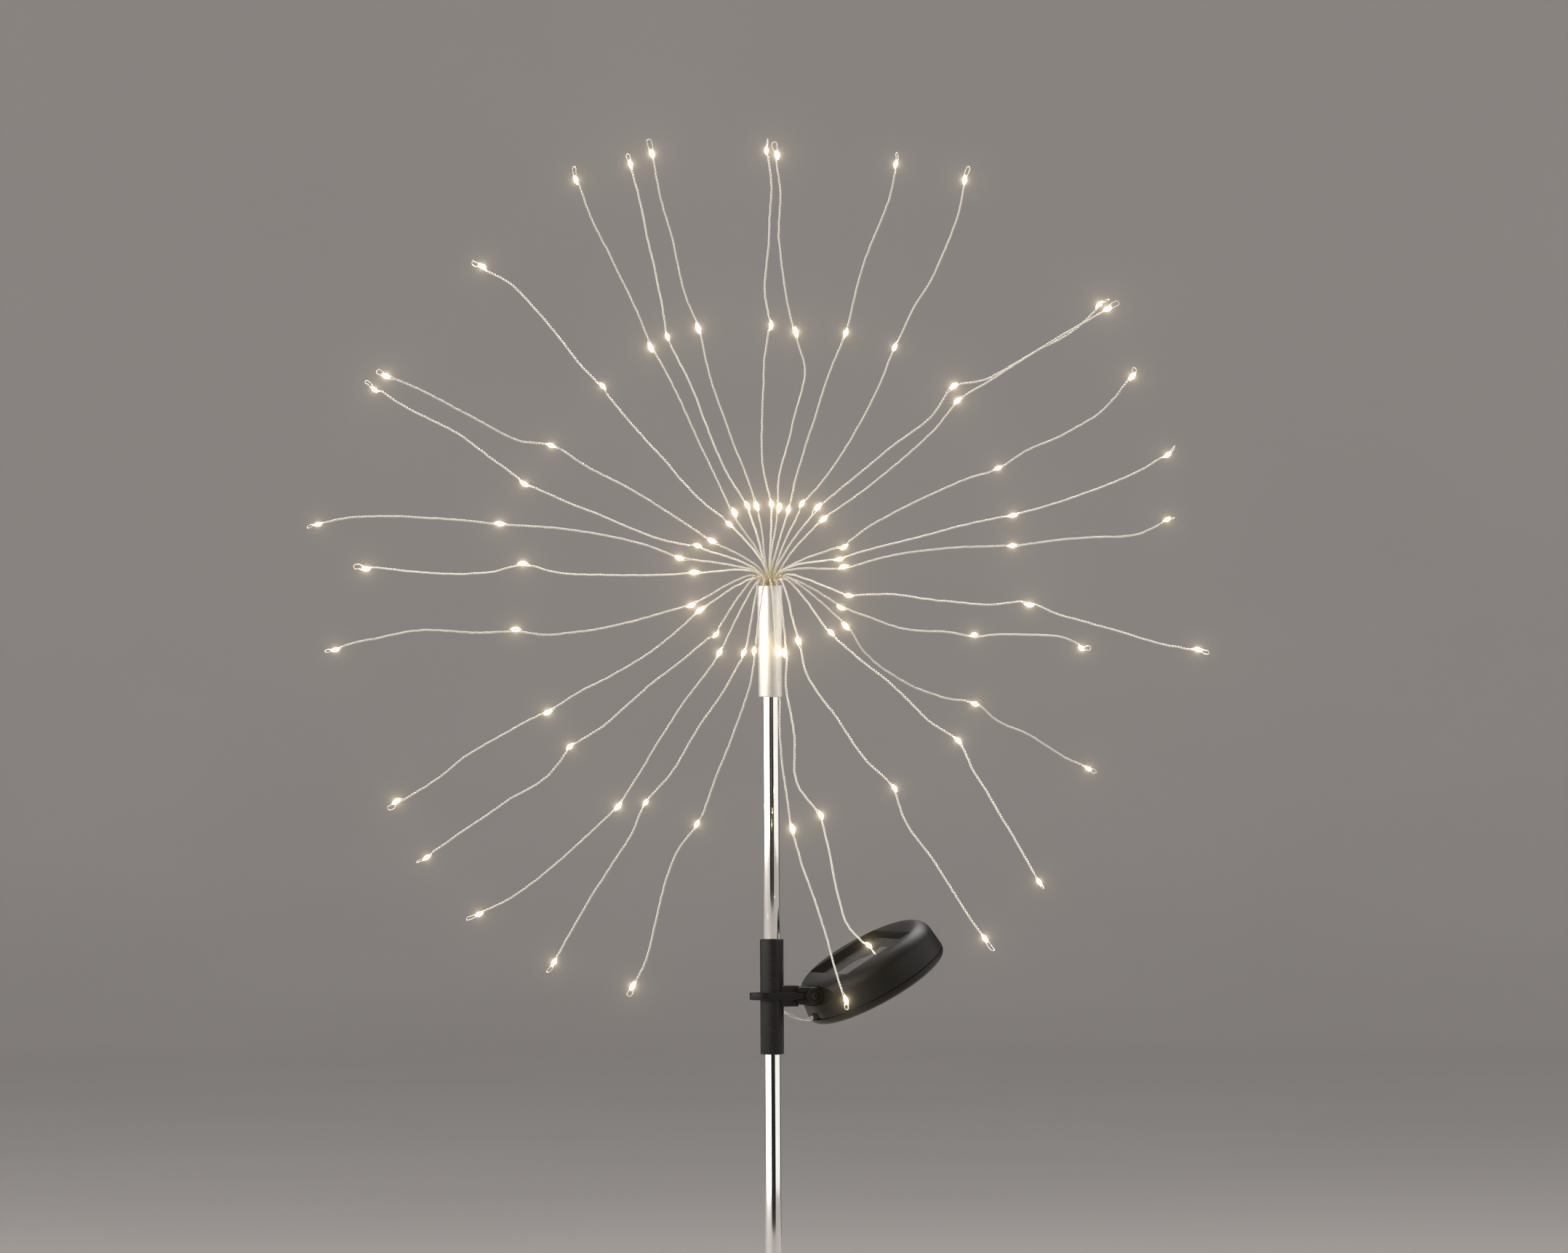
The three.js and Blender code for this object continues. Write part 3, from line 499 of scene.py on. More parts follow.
def solar_cells():
    """Dark cells with fine grid lines along the arm and bus bars across it."""
    look = Look("solar_cells", roughness=0.25)
    split = look.nodes.new("ShaderNodeSeparateXYZ")
    look.link(look.space, split.inputs["Vector"])

    def lines(axis, pitch, width):
        wave = look.math("PINGPONG", look.math("DIVIDE", split.outputs[axis], pitch * MM), 0.5)
        return look.math("LESS_THAN", wave, width / pitch / 2)

    grid = look.math("MULTIPLY", lines("Y", 2.4, 0.42), 0.7)
    bars = look.math("MULTIPLY", lines("X", 18.2, 0.45), 0.7)
    gaps = look.math("MULTIPLY", lines("Y", 9.6, 0.6), 1.0)
    marks = look.math("MAXIMUM", look.math("MAXIMUM", grid, bars), gaps)
    cloud = look.noise(70, 3, stretch=(0.3, 1, 1))
    base = look.ramp(cloud, [(0.3, (0.006, 0.0045, 0.0045)), (0.7, (0.016, 0.012, 0.011))])
    mix = look.nodes.new("ShaderNodeMix")
    mix.data_type = "RGBA"
    look.link(marks, mix.inputs["Factor"])
    look.link(base, mix.inputs["A"])
    mix.inputs["B"].default_value = (0.42, 0.38, 0.33, 1)
    look.color(mix.outputs["Result"])
    look.roughness(look.spread(cloud, 0.2, 0.35))
    look.bump(marks, 0.00002, 0.5)
    return look.material


def clear_plate():
    """The clear window over the cells, faintly wavy."""
    look = Look("clear_plate", roughness=0.03)
    look.color(look.ramp(look.noise(60, 2), [(0.3, (0.93, 0.94, 0.95)), (0.7, (0.98, 0.98, 0.99))]))
    look.shader.inputs["Transmission Weight"].default_value = 1.0
    look.shader.inputs["IOR"].default_value = 1.49
    look.shader.inputs["Specular IOR Level"].default_value = 0.25
    look.bump(look.noise(120, 2), 0.00002, 0.15)
    return look.material


def clouded(name, dark, light, scale, rough, depth=0.00002):
    """A plain moulded or cast surface with a soft cloud of colour and a fine skin."""
    look = Look(name)
    look.color(look.ramp(look.noise(scale, 3), [(0.3, dark), (0.7, light)]))
    look.roughness(look.spread(look.noise(scale * 2, 3), rough - 0.06, rough + 0.06))
    look.bump(look.noise(scale * 6, 3), depth)
    return look.material


LED_GLOW = 16  # emission strength at the middle of a drop
CHIP_GLOW = 3 * LED_GLOW

BLACK_PLASTIC = textured_plastic(
    "black_plastic", (0.0022, 0.0023, 0.0025), (0.0085, 0.0088, 0.0088), 1600, 0.00009, 0.42
)
SLEEVE_PLASTIC = textured_plastic(
    "sleeve_plastic", (0.0035, 0.0036, 0.0036), (0.017, 0.0172, 0.0165), 1500, 0.00012, 0.45
)
POLISHED = polished_steel()
SATIN = satin_steel()
BLACK_SCREW = plated_steel("black_screw", (0.05, 0.05, 0.05), 0.35)
BRIGHT_STEEL = plated_steel("bright_steel", (0.55, 0.56, 0.57), 0.28)
RUBBER = clouded("rubber", (0.01, 0.01, 0.011), (0.022, 0.022, 0.023), 300, 0.72)
POTTING = clouded("potting", (0.62, 0.5, 0.28), (0.8, 0.7, 0.46), 400, 0.35, 0.00008)
INSULATION = clouded("insulation", (0.74, 0.72, 0.67), (0.9, 0.88, 0.83), 250, 0.3)
CIRCUIT = clouded("circuit_green", (0.015, 0.12, 0.045), (0.03, 0.2, 0.08), 260, 0.42)
BATTERY_SLEEVE = clouded("battery_sleeve", (0.03, 0.24, 0.09), (0.06, 0.33, 0.14), 120, 0.33)
SILVER_WIRE = silver_wire()
LED_RESIN = led_resin()
LED_CHIP = led_chip()
SOLAR_CELLS = solar_cells()
CLEAR_PLATE = clear_plate()

# ---- lead between the sleeve and the housing -------------------------------------------------

LEAD_ROUTE = [
    (-2.85, 5.36, 187), (-4.2, 7.6, 187.0), (-4.6, 10.4, 186.7), (-2.6, 12.8, 186.2),
    (1.0, 13.6, 185.4), (5.0, 12.8, 184.2), (9.0, 10.8, 182.6), (12.6, 8.8, 181.2),
    (15.8, 7.5, 180.5), (18.4, 7.6, 180.8), (20.1, 8.3, 181.8),
]
LEAD_STEP = 0.5
STRAND_RADIUS = 0.42
STRAND_PITCH = 17  # one turn of the two wires round each other


def make_lead():
    """Two thin insulated wires, laid loosely round each other."""
    line = smooth_line([Vector(p) for p in LEAD_ROUTE], LEAD_STEP)
    frames = frames_along(line)
    bm = bmesh.new()
    for side in (1, -1):
        strand = []
        for i, (centre, (across, up)) in enumerate(zip(line, frames)):
            angle = TAU * i * LEAD_STEP / STRAND_PITCH
            apart = side * (0.42 + 0.1 * math.sin(i * 0.21))
            offset = across * (apart * math.cos(angle)) + up * (apart * math.sin(angle))
            strand.append(centre + offset)
        add_tube(bm, strand, STRAND_RADIUS, 10)
    lead = piece_of("lead_pair", bm, POLE, "mast", INSULATION, sharp=60)
    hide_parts("lead_cord")
    return lead


lead = make_lead()
lead.parent = None
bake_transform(lead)

# ---- pole, sleeve, ferrule and spike ----------------------------------------------------------

TUBE_R = 4.0
TUBE_BORE = 3.4
SOCKET_R = 4.3  # bore of what the tubes push into
SLEEVE_R = 5.75
SLEEVE_STOP = (181.3, 191.7)  # the ring between the two tubes' ends
SLEEVE_EDGE = 0.45
LEAD_HOLE_R = 1.1
LEAD_HOLE_TURN = 28  # from +Y, about the pole
LEAD_HOLE_Z = 187
FERRULE_FOOT_R = 5.75
FERRULE_MOUTH_R = 6.15
FERRULE_BORE = 4.9
FERRULE_STOP = 368.2

def ring_profile(inner, outer, z0, z1, soft):
    return [
        (inner, z0 + soft), (inner + soft, z0), *arc((outer - soft, z0 + soft), soft, -90, 0, 3),
        *arc((outer - soft, z1 - soft), soft, 0, 90, 3), (inner + soft, z1), (inner, z1 - soft),
    ]


def make_tube(node, body):
    low, high = (corner.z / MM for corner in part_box(node))
    bm = lathe(ring_profile(TUBE_BORE, TUBE_R, low, high, 0.12), 96, ring=True)
    piece_of(node + "_skin", bm, POLE, body, POLISHED, [node])


def make_sleeve():
    low, high = (corner.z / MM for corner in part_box("pole_sleeve"))
    edge_r = SLEEVE_R - SLEEVE_EDGE
    stop_low, stop_high = SLEEVE_STOP
    body = lathe([
        (SOCKET_R, low + 0.3), (SOCKET_R + 0.3, low),
        *arc((edge_r, low + SLEEVE_EDGE), SLEEVE_EDGE, -90, 0, 4),
        *arc((edge_r, high - SLEEVE_EDGE), SLEEVE_EDGE, 0, 90, 4), (SOCKET_R + 0.3, high),
        (SOCKET_R, high - 0.3), (SOCKET_R, stop_high), (TUBE_BORE, stop_high), (TUBE_BORE, stop_low),
        (SOCKET_R, stop_low),
    ], 128, ring=True)
    hole = turned(barrel(LEAD_HOLE_R, 0, 8, segments=24), "Z", LEAD_HOLE_TURN, (0, 0, LEAD_HOLE_Z))
    body = combined(body, ("DIFFERENCE", hole))
    piece_of("sleeve_skin", body, POLE, "mast", SLEEVE_PLASTIC, ["pole_sleeve"])


def make_ferrule():
    """The pale tube at the mouth, and the potting in it that the wires come out of."""
    low, high = (corner.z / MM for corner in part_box("ferrule"))
    lip = 0.35
    profile = [
        (SOCKET_R, low + 0.25), (4.55, low), *arc((FERRULE_FOOT_R - lip, low + lip), lip, -90, 0, 4),
        *arc((FERRULE_MOUTH_R - lip, high - lip), lip, 0, 90, 5), (5.15, high), (4.95, high - 0.2),
        (FERRULE_BORE, high - 0.5), (FERRULE_BORE, FERRULE_STOP), (SOCKET_R, FERRULE_STOP),
    ]
    bm = lathe(profile, 128, ring=True)
    piece_of("ferrule_skin", bm, POLE, "mast", SATIN, ["ferrule"])
    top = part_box("wire_plug")[1].z / MM
    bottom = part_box("wire_plug")[0].z / MM
    dome = [(0, bottom), (4.6, bottom), (4.6, top - 0.25), (4.3, top - 0.1), (3, top - 0.02), (0, top)]
    piece_of("potting", lathe(dome, 64), POLE, "mast", POTTING, ["wire_plug"])


def make_spike():
    """Two crossed ribs that taper to a point, under a flange with a socket for the tube."""
    right = [(0.8, -170), (8.8, -102), (11, 0), (11, 0.5)]
    rib_outline = [(-x, z) for x, z in reversed(right)] + right
    ribs = []
    for degrees in (0, 90):
        rib = prism([(rib_outline, -1.5), (rib_outline, 1.5)])
        rib = turned(softened(rib, 0.35, 30), "X", 90)
        ribs.append(turned(rib, "Z", degrees))
    hub = lathe([
        (0, -0.001), *arc((16.2, 0.8), 0.8, -90, 0, 3), *arc((16.2, 1.7), 0.8, 0, 90, 3),
        (10, 2.5), *reversed(arc((10, 4.3), 1.8, 180, 270, 5)), (8.0, 5), *arc((6.2, 31.6), 0.4, 0, 90, 3),
        (SOCKET_R + 0.3, 32), (SOCKET_R, 31.7), (SOCKET_R, 5), (0, 5),
    ], 96)
    body = combined(ribs[0], ("UNION", ribs[1]), ("UNION", hub))
    piece_of("spike", body, POLE, "stake", BLACK_PLASTIC, ["ground_spike"])


make_tube("lower_tube", "stake")
make_tube("upper_tube", "mast")
make_sleeve()
make_ferrule()
make_spike()

# ---- bracket ----------------------------------------------------------------------------------

EAR_R = 4.3
EAR_OUTER = 8.0
EAR_INNER = 4.9
EAR_PAD = 1.5  # how far the near ear's round pad stands out
PAD_FACE = -EAR_OUTER - EAR_PAD
HINGE_HOLE_R = 1.8
HEAD_HOLE_R = 2.3
HEAD_HOLE_DEPTH = 1.5
BAND_OFFSET = 6.6  # the band's middle from the arm's middle plane
BAND_LOOP_X = -4.2
BAND_END = 14.0
BAND_HALF = (0.45, 1.8)


def make_band():
    """A strip bent round the sleeve, with soft edges and a pin hole near its loop."""
    line = [Vector((BAND_END, BAND_OFFSET, 0)), Vector((4, BAND_OFFSET, 0))]
    line += [Vector((BAND_LOOP_X + x, y, 0)) for x, y in arc((0, 0), BAND_OFFSET, 90, 270, 28)]
    line += [Vector((4, -BAND_OFFSET, 0)), Vector((BAND_END, -BAND_OFFSET, 0))]
    section = rounded_outline(*BAND_HALF, 0.2, 3)
    bm = bmesh.new()
    rings = []
    for i, centre in enumerate(line):
        along = (line[min(i + 1, len(line) - 1)] - line[max(i - 1, 0)]).normalized()
        outward = along.cross(Vector((0, 0, 1)))
        rings.append([bm.verts.new(centre + outward * x + Vector((0, 0, z))) for x, z in section])
    count = len(section)
    for low, high in zip(rings, rings[1:]):
        for i in range(count):
            k = (i + 1) % count
            bm.faces.new((low[i], low[k], high[k], high[i]))
    bm.faces.new(rings[0])
    bm.faces.new(list(reversed(rings[-1])))
    bmesh.ops.recalc_face_normals(bm, faces=bm.faces)
    pin = turned(barrel(0.35, -10, 0, segments=16), "Z", 0, (BAND_LOOP_X - 1.6, 0, 0))
    bm = combined(bm, ("DIFFERENCE", pin))
    piece_of("band", bm, ARM, "mast", BLACK_PLASTIC, ["clip_band"])


def make_bracket():
    """Saddle, block with a groove for each run of the band, and two ears, the near one padded."""
    start, end, corner = 10.3, hinge_reach - 4.9, 2.2
    corners = [(start + corner, EAR_R - corner, 90, 180), (start + corner, corner - EAR_R, 180, 270)]
    outline = [(hinge_reach, -EAR_R), (hinge_reach, EAR_R)]
    for x, z, low, high in corners:
        outline += arc((x, z), corner, low, high, 8)
    cheeks = turned(softened(prism([(outline, -EAR_OUTER), (outline, EAR_OUTER)]), 0.35, 50), "X", 90)
    at_hinge = (hinge_reach, 0, 0)
    ears = turned(barrel(EAR_R, PAD_FACE, EAR_OUTER, 0.35, 72), "Z", 0, at_hinge)
    steps = [("UNION", cheeks), ("UNION", ears)]
    steps.append(("DIFFERENCE", block(end, hinge_reach + 8, -EAR_INNER, EAR_INNER, -9, 9, 0.2)))
    for side in (-1, 1):
        near, far = sorted((side * 5.85, side * 12))
        steps.append(("DIFFERENCE", block(0, BAND_END + 0.3, near, far, -2.1, 2.1)))
    steps.append(("DIFFERENCE", lathe([(0, -20), (6.05, -20), (6.05, 20), (0, 20)], 96)))
    for radius, far, count in ((HINGE_HOLE_R, 20, 32), (HEAD_HOLE_R, PAD_FACE + HEAD_HOLE_DEPTH, 48)):
        hole = turned(barrel(radius, -20, far, segments=count), "Z", 0, at_hinge)
        steps.append(("DIFFERENCE", hole))
    bm = combined(block(2, 12, -5.4, 5.4, -5.15, 5.15, 0.5), *steps)
    piece_of("bracket", bm, ARM, "mast", BLACK_PLASTIC, ["clip_bracket"])


def cross_recess(low, size, depth):
    """A tapered cross, pointing along Y from low."""
    arms = []
    for a, b in ((size, 0.27), (0.27, size)):
        top = rounded_outline(a, b, 0.1, 2)
        bottom = [(x * 0.55, y * 0.55) for x, y in top]
        arms.append(turned(prism([(bottom, -low - depth), (top, -low + 0.4)]), "X", 90))
    return combined(arms[0], ("UNION", arms[1]))


def make_hinge_screw():
    """A domed head with a cross recess, and a shank through both ears and the tongue."""
    low = PAD_FACE + 0.15
    head = [
        (0, low), (0.6, low), *arc((1.5, low + 0.6), 0.6, -90, 0, 4), (2.1, low + 1.05),
        (1.5, low + 1.05), (1.5, 10.3), (1.2, 10.6), (0, 10.6),
    ]
    bm = turned(lathe(head, 48), "X", -90)
    recess = cross_recess(low, 1.3, 0.9)
    bm = combined(bm, ("DIFFERENCE", recess))
    piece_of("tilt_screw", bm, HINGE, "mast", BLACK_SCREW, ["hinge_screw"])


def hexagon(radius):
    return [(radius * math.cos(TAU * i / 6), radius * math.sin(TAU * i / 6)) for i in range(6)]


def make_hinge_nut():
    low = EAR_OUTER + 0.3
    body = turned(prism([(hexagon(3.1), 0), (hexagon(3.1), 2)]), "X", -90, (0, low, 0))
    dome = lathe([(0, 0), (2.8, 0), (3.3, 0.35), (3.3, 1.65), (2.8, 2), (0, 2)], 48)
    dome = turned(dome, "X", -90, (0, low, 0))
    hole = barrel(1.75, low - 1, low + 4, segments=32)
    bm = combined(body, ("INTERSECT", dome), ("DIFFERENCE", hole))
    piece_of("tilt_nut", bm, HINGE, "mast", BRIGHT_STEEL, ["hinge_nut"])


make_band()
make_bracket()
make_hinge_screw()
make_hinge_nut()

# ---- solar housing ------------------------------------------------------------------------------

HOUSING_R = 37.0
PARTING = -12.1
TOP_FACE = 4.1
SHOULDER_R = 8.0
SHELL_LEAN = 0.9
WALL = 2.0
BASE_LOW = PARTING - 4.5
WINDOW_X = 19.5
WINDOW_Y = 23.5
FRAME_FLOOR = TOP_FACE - 7.1
WINDOW_TOP = TOP_FACE - 3.6
ROOM_R = 4.8  # bore round the bracket's ears
ROOM_WALL = 1.8
ARM_ROOM = 8.6
SWING = (-31, 8)  # degrees of tilt that the room allows
FLAT_HALF = 10.5
SCREW_PLACES = [(29.5, 0), (0, 29.5), (0, -29.5)]
BUTTON_X = 14


def hinge_room():
    """The space that the bracket swings in: a bore round its ears, a wedge towards the pole."""
    bore = turned(barrel(ROOM_R, -HOUSING_R, HOUSING_R, segments=72), "Z", 0, (-HOUSING_OUT, 0, 0))
    corners = []
    for degrees in SWING:
        turn = Matrix.Rotation(math.radians(math.degrees(housing_tilt) + degrees), 3, "Y")
        corners.append([turn @ Vector((x, 0, z)) for x in (-15, 0) for z in (-ROOM_R, ROOM_R)])
    wedge = bmesh.new()
    for corner in corners[0] + corners[1]:
        for y in (-ARM_ROOM, ARM_ROOM):
            wedge.verts.new(corner + Vector((-HOUSING_OUT, y, 0)))
    bmesh.ops.convex_hull(wedge, input=wedge.verts)
    loose = [vert for vert in wedge.verts if not vert.link_faces]
    bmesh.ops.delete(wedge, geom=loose, context="VERTS")
    bmesh.ops.recalc_face_normals(wedge, faces=wedge.faces)
    return bore, wedge


def make_top_shell():
    """A round shell with a window frame, a walled room for the bracket and a tongue for its screw."""
    at_hinge = (-HOUSING_OUT, 0, 0)
    centre = (HOUSING_R - SHELL_LEAN - SHOULDER_R, TOP_FACE - SHOULDER_R)
    edge = 0.25
    profile = [
        (0, PARTING + 1), (HOUSING_R - WALL, PARTING + 1), (HOUSING_R - WALL, PARTING),
        (HOUSING_R - edge, PARTING), (HOUSING_R, PARTING + edge),
        *arc(centre, SHOULDER_R, 4, 90, 16), (0, TOP_FACE),
    ]
    hollow = lathe([
        (0, PARTING - 1), (HOUSING_R - WALL, PARTING - 1), *arc(centre, SHOULDER_R - WALL, 4, 90, 10),
        (0, TOP_FACE - WALL),
    ], 128)
    inside_skin = lathe([(0, PARTING + 1.2), (HOUSING_R - 0.3, PARTING + 1.2),
                         *arc(centre, SHOULDER_R - 0.3, 4, 90, 10), (0, TOP_FACE - 0.3)], 160)
    frame_block = prism([(rounded_outline(21.1, 25.1, 2), z) for z in (FRAME_FLOOR, TOP_FACE - 1)])
    recess = prism([
        (rounded_outline(WINDOW_X, WINDOW_Y, 0.8), FRAME_FLOOR + 0.9),
        (rounded_outline(WINDOW_X, WINDOW_Y, 0.8), TOP_FACE - 0.4),
        (rounded_outline(WINDOW_X + 0.12, WINDOW_Y + 0.12, 0.9), TOP_FACE - 0.15),
        (rounded_outline(WINDOW_X + 0.45, WINDOW_Y + 0.45, 1.2), TOP_FACE + 0.05),
        (rounded_outline(WINDOW_X + 0.45, WINDOW_Y + 0.45, 1.2), TOP_FACE + 1),
    ])
    opening = prism([(rounded_outline(17.5, 21.5, 1.5), z) for z in (FRAME_FLOOR - 1, TOP_FACE)])
    walls = combined(
        turned(barrel(ROOM_R + ROOM_WALL, -HOUSING_R, HOUSING_R), "Z", 0, at_hinge),
        ("UNION", block(-HOUSING_R - 7, -HOUSING_OUT + 1.6, -FLAT_HALF, FLAT_HALF, PARTING + 1.2, 0)),
        ("INTERSECT", inside_skin),
    )
    bore, wedge = hinge_room()
    flat = block(-HOUSING_R - 5, -HOUSING_R + 1.2, -FLAT_HALF, FLAT_HALF, PARTING - 1, -1)
    tongue = combined(
        barrel(4.1, -4.6, 4.6, 0.3), ("UNION", block(0, 6.4, -4.6, 4.6, -3.9, 3.3, 0.3)),
    )
    tongue = turned(tongue, "Z", 0, at_hinge)
    steps = [
        ("DIFFERENCE", hollow), ("UNION", frame_block), ("UNION", walls), ("DIFFERENCE", recess),
        ("DIFFERENCE", opening), ("DIFFERENCE", bore), ("DIFFERENCE", wedge), ("DIFFERENCE", flat),
        ("UNION", tongue),
        ("DIFFERENCE", turned(barrel(HINGE_HOLE_R, -20, 20, segments=32), "Z", 0, at_hinge)),
        ("DIFFERENCE", block(-HOUSING_R - 2, -HOUSING_R + 5, -2.3, 2.3, PARTING - 1, PARTING + 3)),
    ]
    bm = softened(combined(lathe(profile, 160), *steps), 0.22, 42)
    piece_of("housing_top", bm, PUCK, "panel", BLACK_PLASTIC, ["panel_top_shell"])


def make_base_cover():
    """A shallow dish with a well and a pillar for each screw, and a dished hole for the button."""
    top = PARTING - 0.3
    round_r = top - BASE_LOW
    outer = arc((HOUSING_R - round_r, top), round_r, -90, 0, 10)
    inner = arc((HOUSING_R - round_r, top), round_r - 1.7, -90, 0, 6)
    profile = [
        (0, BASE_LOW + 0.5), (24, BASE_LOW + 0.5), (24.4, BASE_LOW), *outer, (HOUSING_R - 1.8, top),
        *reversed(inner), (0, BASE_LOW + 1.7),
    ]

    def plug(radius, low, high, segments, place):
        return turned(lathe([(0, low), (radius, low), (radius, high), (0, high)], segments), "Z", 0, place)

    steps = []
    for x, y in SCREW_PLACES:
        steps += [
            ("UNION", plug(3, BASE_LOW + 0.6, top, 40, (x, y, 0))),
            ("DIFFERENCE", plug(2.5, BASE_LOW - 1, BASE_LOW + 1.7, 40, (x, y, 0))),
            ("DIFFERENCE", plug(1.4, BASE_LOW - 1, top + 1, 24, (x, y, 0))),
        ]
    button_hole = lathe([
        (0, BASE_LOW - 1), (4.4, BASE_LOW - 1), (3.6, BASE_LOW + 1), (3.6, BASE_LOW + 3), (0, BASE_LOW + 3),
    ], 64)
    steps.append(("DIFFERENCE", turned(button_hole, "Z", 0, (BUTTON_X, 0, 0))))
    bm = combined(lathe(profile, 160), *steps)
    piece_of("housing_base", bm, PUCK, "panel", BLACK_PLASTIC, ["panel_base_cover"])


def make_window():
    """The clear plate, bevelled all round, and the dark sheet of cells under it."""
    x, y = WINDOW_X - 0.3, WINDOW_Y - 0.3
    top = WINDOW_TOP
    plate = prism([
        (rounded_outline(x, y, 0.7), top - 0.8), (rounded_outline(x, y, 0.7), top - 0.45),
        (rounded_outline(x - 0.5, y - 0.5, 0.6), top - 0.12),
        (rounded_outline(x - 1.2, y - 1.2, 0.5), top),
    ])
    piece_of("window_plate", plate, PUCK, "panel", CLEAR_PLATE, ["pv_window"])
    sheet = rounded_outline(x - 0.8, y - 0.8, 0.4)
    cells = prism([(sheet, top - 1.4), (sheet, top - 1.1)])
    piece_of("cell_sheet", cells, PUCK, "panel", SOLAR_CELLS, ["pv_cells"])


def make_button():
    """A dished rubber button with a collar inside the cover and a stem to the switch."""
    low = PARTING - 4.5 - 0.6
    collar_low, collar_high, stem_top = -14.7, -14.2, -13.7
    profile = [
        (0, low + 0.25), (2.1, low + 0.2), *arc((2.7, low + 0.6), 0.6, -90, 0, 5),
        (3.3, collar_low), (4.6, collar_low), (4.6, collar_high), (1.4, collar_high),
        (1.4, stem_top), (0, stem_top),
    ]
    bm = turned(lathe(profile, 64), "Z", 0, (BUTTON_X, 0, 0))
    piece_of("press_button", bm, PUCK, "button", RUBBER, ["switch_button"])


def make_bush():
    bm = block(-HOUSING_R + 0.4, -HOUSING_R + 2.2, -2, 2, PARTING + 0.1, PARTING + 2.7, 0.4)
    bore = turned(barrel(1.05, -4, 4, segments=32), "Z", 90, (-HOUSING_R, 0, PARTING + 1.4))
    bm = combined(bm, ("DIFFERENCE", bore))
    piece_of("lead_bush", bm, PUCK, "panel", RUBBER, ["lead_grommet"])


def make_base_screws():
    low = BASE_LOW + 0.4
    for number, (x, y) in enumerate(SCREW_PLACES, 1):
        profile = [
            (0, low), (0.8, low), *arc((1.7, low + 0.5), 0.5, -90, 0, 4), (2.2, low + 1),
            (0.6, low + 1), (0.6, PARTING + 6.4), (0, PARTING + 7),
        ]
        recess = turned(cross_recess(0, 1.2, 0.7), "X", 90, (0, 0, low))
        bm = turned(combined(lathe(profile, 40), ("DIFFERENCE", recess)), "Z", 20 * number, (x, y, 0))
        node = f"base_screw_{number}"
        piece_of(f"cover_screw_{number}", bm, PUCK, "panel", BRIGHT_STEEL, [node])


make_top_shell()
make_base_cover()
make_window()
make_button()
make_bush()
make_base_screws()

INNER_LOOKS = {
    "inner_lead": INSULATION, "housing_seal": RUBBER, "pv_board": CIRCUIT, "battery_tray": BLACK_PLASTIC,
    "battery": BATTERY_SLEEVE, "contact_neg": BRIGHT_STEEL, "contact_pos": BRIGHT_STEEL,
    "circuit_board": CIRCUIT, "switch_body": BLACK_PLASTIC,
}
for node, look in INNER_LOOKS.items():
    mesh = frame["nodes"][node].data
    mesh.materials.clear()
    mesh.materials.append(look)

# ---- LED wires -----------------------------------------------------------------------------------

PAIR_PITCH = 3.3  # one turn of the twisted pair
PAIR_SPREAD = 0.31  # each wire's middle from the pair's, and the same round an LED and at the tip
LED_SPREAD = 0.8
LOOP_SPREAD = 1.15
WIRE_RADIUS = 0.26
STEP = 0.33
LED_WINDOW = 2.8  # half of the stretch that lies open round an LED
TAIL_CUT = 6  # steps that the tail stops short by
TAIL_BEND = 0.09
DROP_LENGTH = 2.4  # half of a drop: along the wire, across the pair, and through it
DROP_WIDE = 1.05
DROP_THICK = 0.85
KINK = 1.1  # how far an LED stands off its wire's line


def centreline(node):
    """The middles of a CAD wire's rings, from the mouth outwards, and which of them are LEDs."""
    mesh = node.data
    places = {}
    key_of = []
    for vertex in mesh.vertices:
        key = tuple(round(c / MM, 2) for c in vertex.co)
        places.setdefault(key, Vector(key))
        key_of.append(key)
    near = {key: set() for key in places}
    for edge in mesh.edges:
        a, b = (key_of[v] for v in edge.vertices)
        near[a].add(b)
        near[b].add(a)
    root = Vector((0, 0, mouth_z - 4))
    layer = sorted(places, key=lambda key: (places[key] - root).length)[:5]
    seen = set(layer)
    middles, radii = [], []
    while layer:
        middle = sum((places[key] for key in layer), Vector()) / len(layer)
        middles.append(middle)
        radii.append(max((places[key] - middle).length for key in layer))
        layer = [key for key in {n for key in layer for n in near[key]} if key not in seen]
        seen.update(layer)
    return middles, [i for i, radius in enumerate(radii) if radius > 1]


def nearness(distance, half, ramp=1.6):
    """1 within half of a place, falling to 0 over the ramp."""
    t = min(1.0, max(0.0, (half + ramp - distance) / ramp))
    return t * t * (3 - 2 * t)


def led_marks(line, middles, leds):
    return [min(range(len(line)), key=lambda i: (line[i] - middles[k]).length) for k in leds]


def any_way(chance):
    return Vector([chance.uniform(-1, 1) for _ in range(3)])


